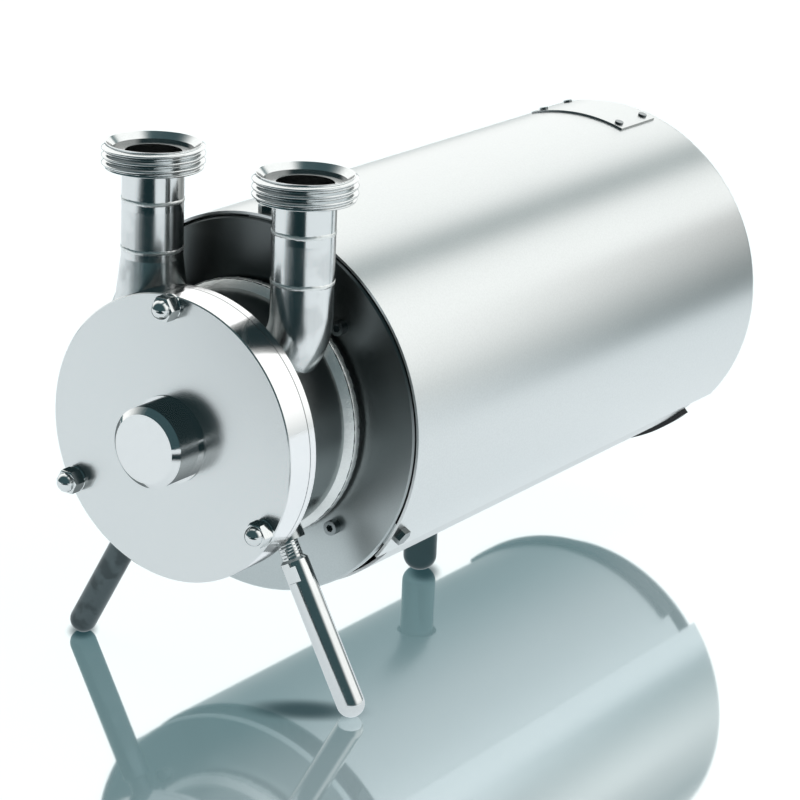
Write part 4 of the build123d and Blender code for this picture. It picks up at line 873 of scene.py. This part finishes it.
@dataclass
class Studio:
    """The pale floor, the soft light and the camera of the photograph, in metres and degrees.

    A place on the floor is how far right and how far forward the camera sees it. Two numbers for
    an edge are where a soft step starts and where it ends.
    """

    lens: float = 135.0
    sensor: float = 36.0
    clip: tuple[float, float] = (0.05, 20.0)
    distance: float = 1.7336
    yaw: float = 33.5
    pitch: float = 18.2
    roll: float = 2.37
    target: tuple[float, float, float] = (0.0523, -0.07675, 0.150)
    across: tuple[float, float] = (0.834, 0.552)

    floor_half: float = 2.2
    floor_colour: Colour = (0.9, 0.9, 0.9)
    floor_tint: Colour = (0.60, 0.645, 0.675)
    floor_dark: Colour = (0.033, 0.085, 0.10)
    floor_mirror: float = 0.85
    mirror_tint: Colour = (0.85, 0.85, 0.85)
    mirror_roughness: float = 0.05
    # Painted glow: the teal light added to the floor for the camera, dimmer on the left and
    # stronger to the right.
    camera_glow_near: Colour = (0.0, 0.075, 0.085)
    camera_glow_far: Colour = (0.07, 0.13, 0.14)
    camera_glow_edges: tuple[float, float] = (0.05, 0.13)
    dark_front: tuple[float, float] = (0.44, 0.56)
    dark_left: tuple[float, float] = (-1.0, -0.9)
    dark_right: tuple[float, float] = (0.05, 0.15)

    contact_colour: Colour = (0.012, 0.04, 0.048)
    contact_share: float = 0.85
    contacts: tuple[tuple[float, ...], ...] = (
        (-0.045, 0.199, 0.045, 0.020), (-0.181, 0.097, 0.012, 0.020), (0.021, -0.020, 0.014, 0.025)
    )

    second_floor: float = 0.25
    second_edges: tuple[float, float] = (-0.12, 0.34)
    second_sky: float = 0.35

    card_x: float = 0.46
    card_span: tuple[float, float] = (0.25, 2.0)
    card_height: float = 0.45
    card_low: Colour = (0.13, 0.19, 0.20)
    card_high: Colour = (1.1, 1.11, 1.1)
    card_rise: tuple[float, float] = (0.0, 0.42)
    card_fade: tuple[float, float] = (0.30, 0.65)
    card_far: tuple[float, float] = (0.5, 1.0)
    card_dimming: float = 0.55

    sky_dark: Colour = (0.10, 0.17, 0.18)
    sky_bright: Colour = (1.17, 1.18, 1.17)
    sky_front: Colour = (0.045, 0.085, 0.095)
    right_edges: tuple[float, float] = (-40.0, 28.0)
    front_edges: tuple[float, float] = (-0.15, 0.35)
    gap_at: float = 80.0
    gap_edges: tuple[float, float] = (3.0, 15.0)
    gap_level: float = 0.05

    def camera(self) -> None:
        """Puts the camera where the photograph was taken from."""
        data = bpy.data.cameras.new("camera")
        data.lens = self.lens
        data.sensor_width = self.sensor
        data.clip_start, data.clip_end = self.clip
        made = bpy.data.objects.new("camera", data)
        bpy.context.scene.collection.objects.link(made)
        yaw, pitch = math.radians(self.yaw), math.radians(self.pitch)
        back = Vector(
            (math.sin(yaw) * math.cos(pitch), -math.cos(yaw) * math.cos(pitch), math.sin(pitch))
        )
        right = (-back).cross(UP).normalized()
        over = right.cross(-back)
        turn = Matrix.Rotation(math.radians(self.roll), 3, back)
        right, over = turn @ right, turn @ over
        basis = Matrix((right, over, back)).transposed().to_4x4()
        basis.translation = Vector(self.target) + back * self.distance
        made.matrix_world = basis
        bpy.context.scene.camera = made

    @staticmethod
    def _stand(name: str, shape: bmesh.types.BMesh, look: bpy.types.Material) -> None:
        """Stands a thing of the studio in the scene.

        Args:
            name: Its name.
            shape: Its mesh.
            look: Its material.
        """
        mesh = bpy.data.meshes.new(name)
        shape.to_mesh(mesh)
        shape.free()
        mesh.materials.append(look)
        made = bpy.data.objects.new(name, mesh)
        bpy.context.scene.collection.objects.link(made)

    def _on_floor(self, graph: Graph) -> tuple[Sock, Sock]:
        """Reads where a place of the floor lies.

        Args:
            graph: The floor's graph.

        Returns:
            How far right and how far forward it is.
        """
        x, y, _ = graph.parts(graph.node("ShaderNodeTexCoord", {}, {}, out="Object"))
        over, ahead = self.across
        return x * over + y * ahead, x * ahead - y * over

    def _floor_light(self, graph: Graph) -> Sock:
        """Marks where the floor is lit.

        Args:
            graph: The floor's graph.

        Returns:
            1 where it is lit and 0 where the studio is dark.
        """
        right, front = self._on_floor(graph)
        near = graph.step(front, *self.dark_front)
        inside = graph.step(right, *self.dark_left) * (1.0 - graph.step(right, *self.dark_right))
        return 1.0 - near * inside

    def _contact(self, graph: Graph) -> Sock:
        """Marks the soft shadows of contact around the feet.

        Args:
            graph: The floor's graph.

        Returns:
            The share of shadow.
        """
        right, front = self._on_floor(graph)
        clear: object = 1.0
        for centre_right, centre_front, half_right, half_front in self.contacts:
            aside = (right - centre_right) / half_right
            before = (front - centre_front) / half_front
            dark = 1.0 - graph.step(aside * aside + before * before, 0.0, 1.0)
            clear = (1.0 - dark * dark * self.contact_share) * clear
        return 1.0 - clear

    def floor(self) -> None:
        """Lays the pale, glossy floor."""
        look, graph = new_material("floor_gloss")
        camera = graph.node("ShaderNodeLightPath", {}, {}, out="Is Camera Ray")
        shown = graph.node(
            "ShaderNodeMath", {"operation": "MAXIMUM"}, {0: self._floor_light(graph), 1: camera}
        )
        bounces = graph.node("ShaderNodeLightPath", {}, {}, out="Ray Depth")
        x = graph.parts(graph.node("ShaderNodeTexCoord", {}, {}, out="Object"))[0]
        dimming = (1.0 - self.second_floor) * (1.0 - graph.step(x, *self.second_edges))
        level = 1.0 - graph.step(bounces, 1.0, 2.0) * dimming
        tone = graph.mix(shown * level, paint(self.floor_dark), paint(self.floor_colour))
        pale = graph.node("ShaderNodeBsdfDiffuse", {}, {"Color": tone})
        glow = graph.node(
            "ShaderNodeEmission", {}, {"Color": paint(self.floor_tint), "Strength": shown * level}
        )
        mirror = graph.node(
            "ShaderNodeBsdfGlossy",
            {},
            {"Color": paint(self.mirror_tint), "Roughness": self.mirror_roughness},
        )
        # Painted glow: a teal light added to the floor for the camera only, dimmer on the left and
        # stronger to the right.
        near, far = (
            graph.node("ShaderNodeEmission", {}, {"Color": paint(colour), "Strength": camera})
            for colour in (self.camera_glow_near, self.camera_glow_far)
        )
        camera_glow = graph.blend(graph.step(x, *self.camera_glow_edges), near, far)
        base = graph.node("ShaderNodeAddShader", {}, {0: pale, 1: glow})
        surface = graph.blend(camera * self.floor_mirror, base, mirror)
        surface = graph.node("ShaderNodeAddShader", {}, {0: surface, 1: camera_glow})
        shade = graph.node("ShaderNodeEmission", {}, {"Color": paint(self.contact_colour)})
        surface = graph.blend(camera * self._contact(graph), surface, shade)
        graph.node("ShaderNodeOutputMaterial", {}, {"Surface": surface})
        shape = bmesh.new()
        bmesh.ops.create_grid(shape, x_segments=1, y_segments=1, size=self.floor_half)
        self._stand("floor", shape, look)

    def card(self) -> None:
        """Stands a card to the right of the object, which its steel reflects as a band."""
        look, graph = new_material("card_cloth")
        _, y, z = graph.parts(graph.node("ShaderNodeTexCoord", {}, {}, out="Object"))
        level = graph.step(z, *self.card_rise)
        glow = graph.node(
            "ShaderNodeEmission",
            {},
            {
                "Color": graph.mix(level, paint(self.card_low), paint(self.card_high)),
                "Strength": 1.0 - graph.step(y, *self.card_far) * self.card_dimming,
            },
        )
        clear = graph.node("ShaderNodeBsdfTransparent", {}, {})
        camera = graph.node("ShaderNodeLightPath", {}, {}, out="Is Camera Ray")
        surface = graph.blend(graph.step(y, *self.card_fade) * (1.0 - camera), clear, glow)
        graph.node("ShaderNodeOutputMaterial", {}, {"Surface": surface})
        low, high = self.card_span
        shape = bmesh.new()
        bmesh.ops.create_grid(shape, x_segments=1, y_segments=1, size=0.5)
        bmesh.ops.scale(shape, vec=(self.card_height, high - low, 1.0), verts=shape.verts)
        upright = Matrix.Rotation(math.pi / 2, 3, "Y")
        bmesh.ops.rotate(shape, cent=(0.0, 0.0, 0.0), matrix=upright, verts=shape.verts)
        place = (self.card_x, (low + high) / 2, self.card_height / 2)
        bmesh.ops.translate(shape, vec=place, verts=shape.verts)
        self._stand("dark_card", shape, look)

    def sky(self) -> None:
        """Lights the object from a studio of soft panels with a white backdrop behind it."""
        world = bpy.data.worlds.new("studio")
        bpy.context.scene.world = world
        world.use_nodes = True
        graph = Graph(world.node_tree)
        x, y, z = graph.parts(graph.node("ShaderNodeTexCoord", {}, {}, out="Generated"))
        turn = graph.node("ShaderNodeMath", {"operation": "ARCTAN2"}, {0: z, 1: x})
        turn = turn * (180.0 / math.pi)
        gap = graph.step(abs(turn - self.gap_at), *self.gap_edges)
        right = graph.step(turn, *self.right_edges)
        right = right * (self.gap_level + (1.0 - self.gap_level) * gap)
        lit = graph.mix(right, paint(self.sky_dark), paint(self.sky_bright))
        front = graph.step(y * -1.0, *self.front_edges)
        soft = graph.mix(front, lit, paint(self.sky_front))
        camera = graph.node("ShaderNodeLightPath", {}, {}, out="Is Camera Ray")
        shown = graph.mix(camera, soft, paint((1.0, 1.0, 1.0)))
        bounces = graph.node("ShaderNodeLightPath", {}, {}, out="Ray Depth")
        level = 1.0 - graph.step(bounces, 2.0, 3.0) * (1.0 - self.second_sky)
        light = graph.node("ShaderNodeBackground", {}, {"Color": shown, "Strength": level})
        graph.node("ShaderNodeOutputWorld", {}, {"Surface": light})

    def build(self) -> None:
        """Builds the whole studio."""
        self.camera()
        self.floor()
        self.card()
        self.sky()
        bpy.context.scene.view_settings.view_transform = "Standard"


def dress_nodes(finishes: Finishes) -> None:
    """Gives every CAD node its finish.

    Args:
        finishes: The pump's finishes.
    """
    for kind, nodes in NODE_FINISHES.items():
        for name in nodes:
            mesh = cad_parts[name].data
            mesh.materials.clear()
            mesh.materials.append(finishes.of(kind))
            LOG.info("%s: %s", name, kind)


def main() -> None:
    """Builds the pump's looks and its studio."""
    finishes = Finishes()
    dress_nodes(finishes)
    for port in (Port("suction", -1), Port("discharge", 1)):
        port.union(finishes.of("thread"))
        port.beads(finishes.of("weld"))
    casing = Casing()
    casing.rear_weld(finishes.of("weld"))
    casing.cover_nuts(finishes.of("polished"))
    threads = LegThreads()
    threads.thread(-1, "front_leg_left_body", "left_leg", finishes.of("painted_shade_leg"))
    threads.thread(1, "front_leg_right_body", "right_leg", finishes.of("leg"))
    Studio().build()


if __name__ == "__main__":
    main()
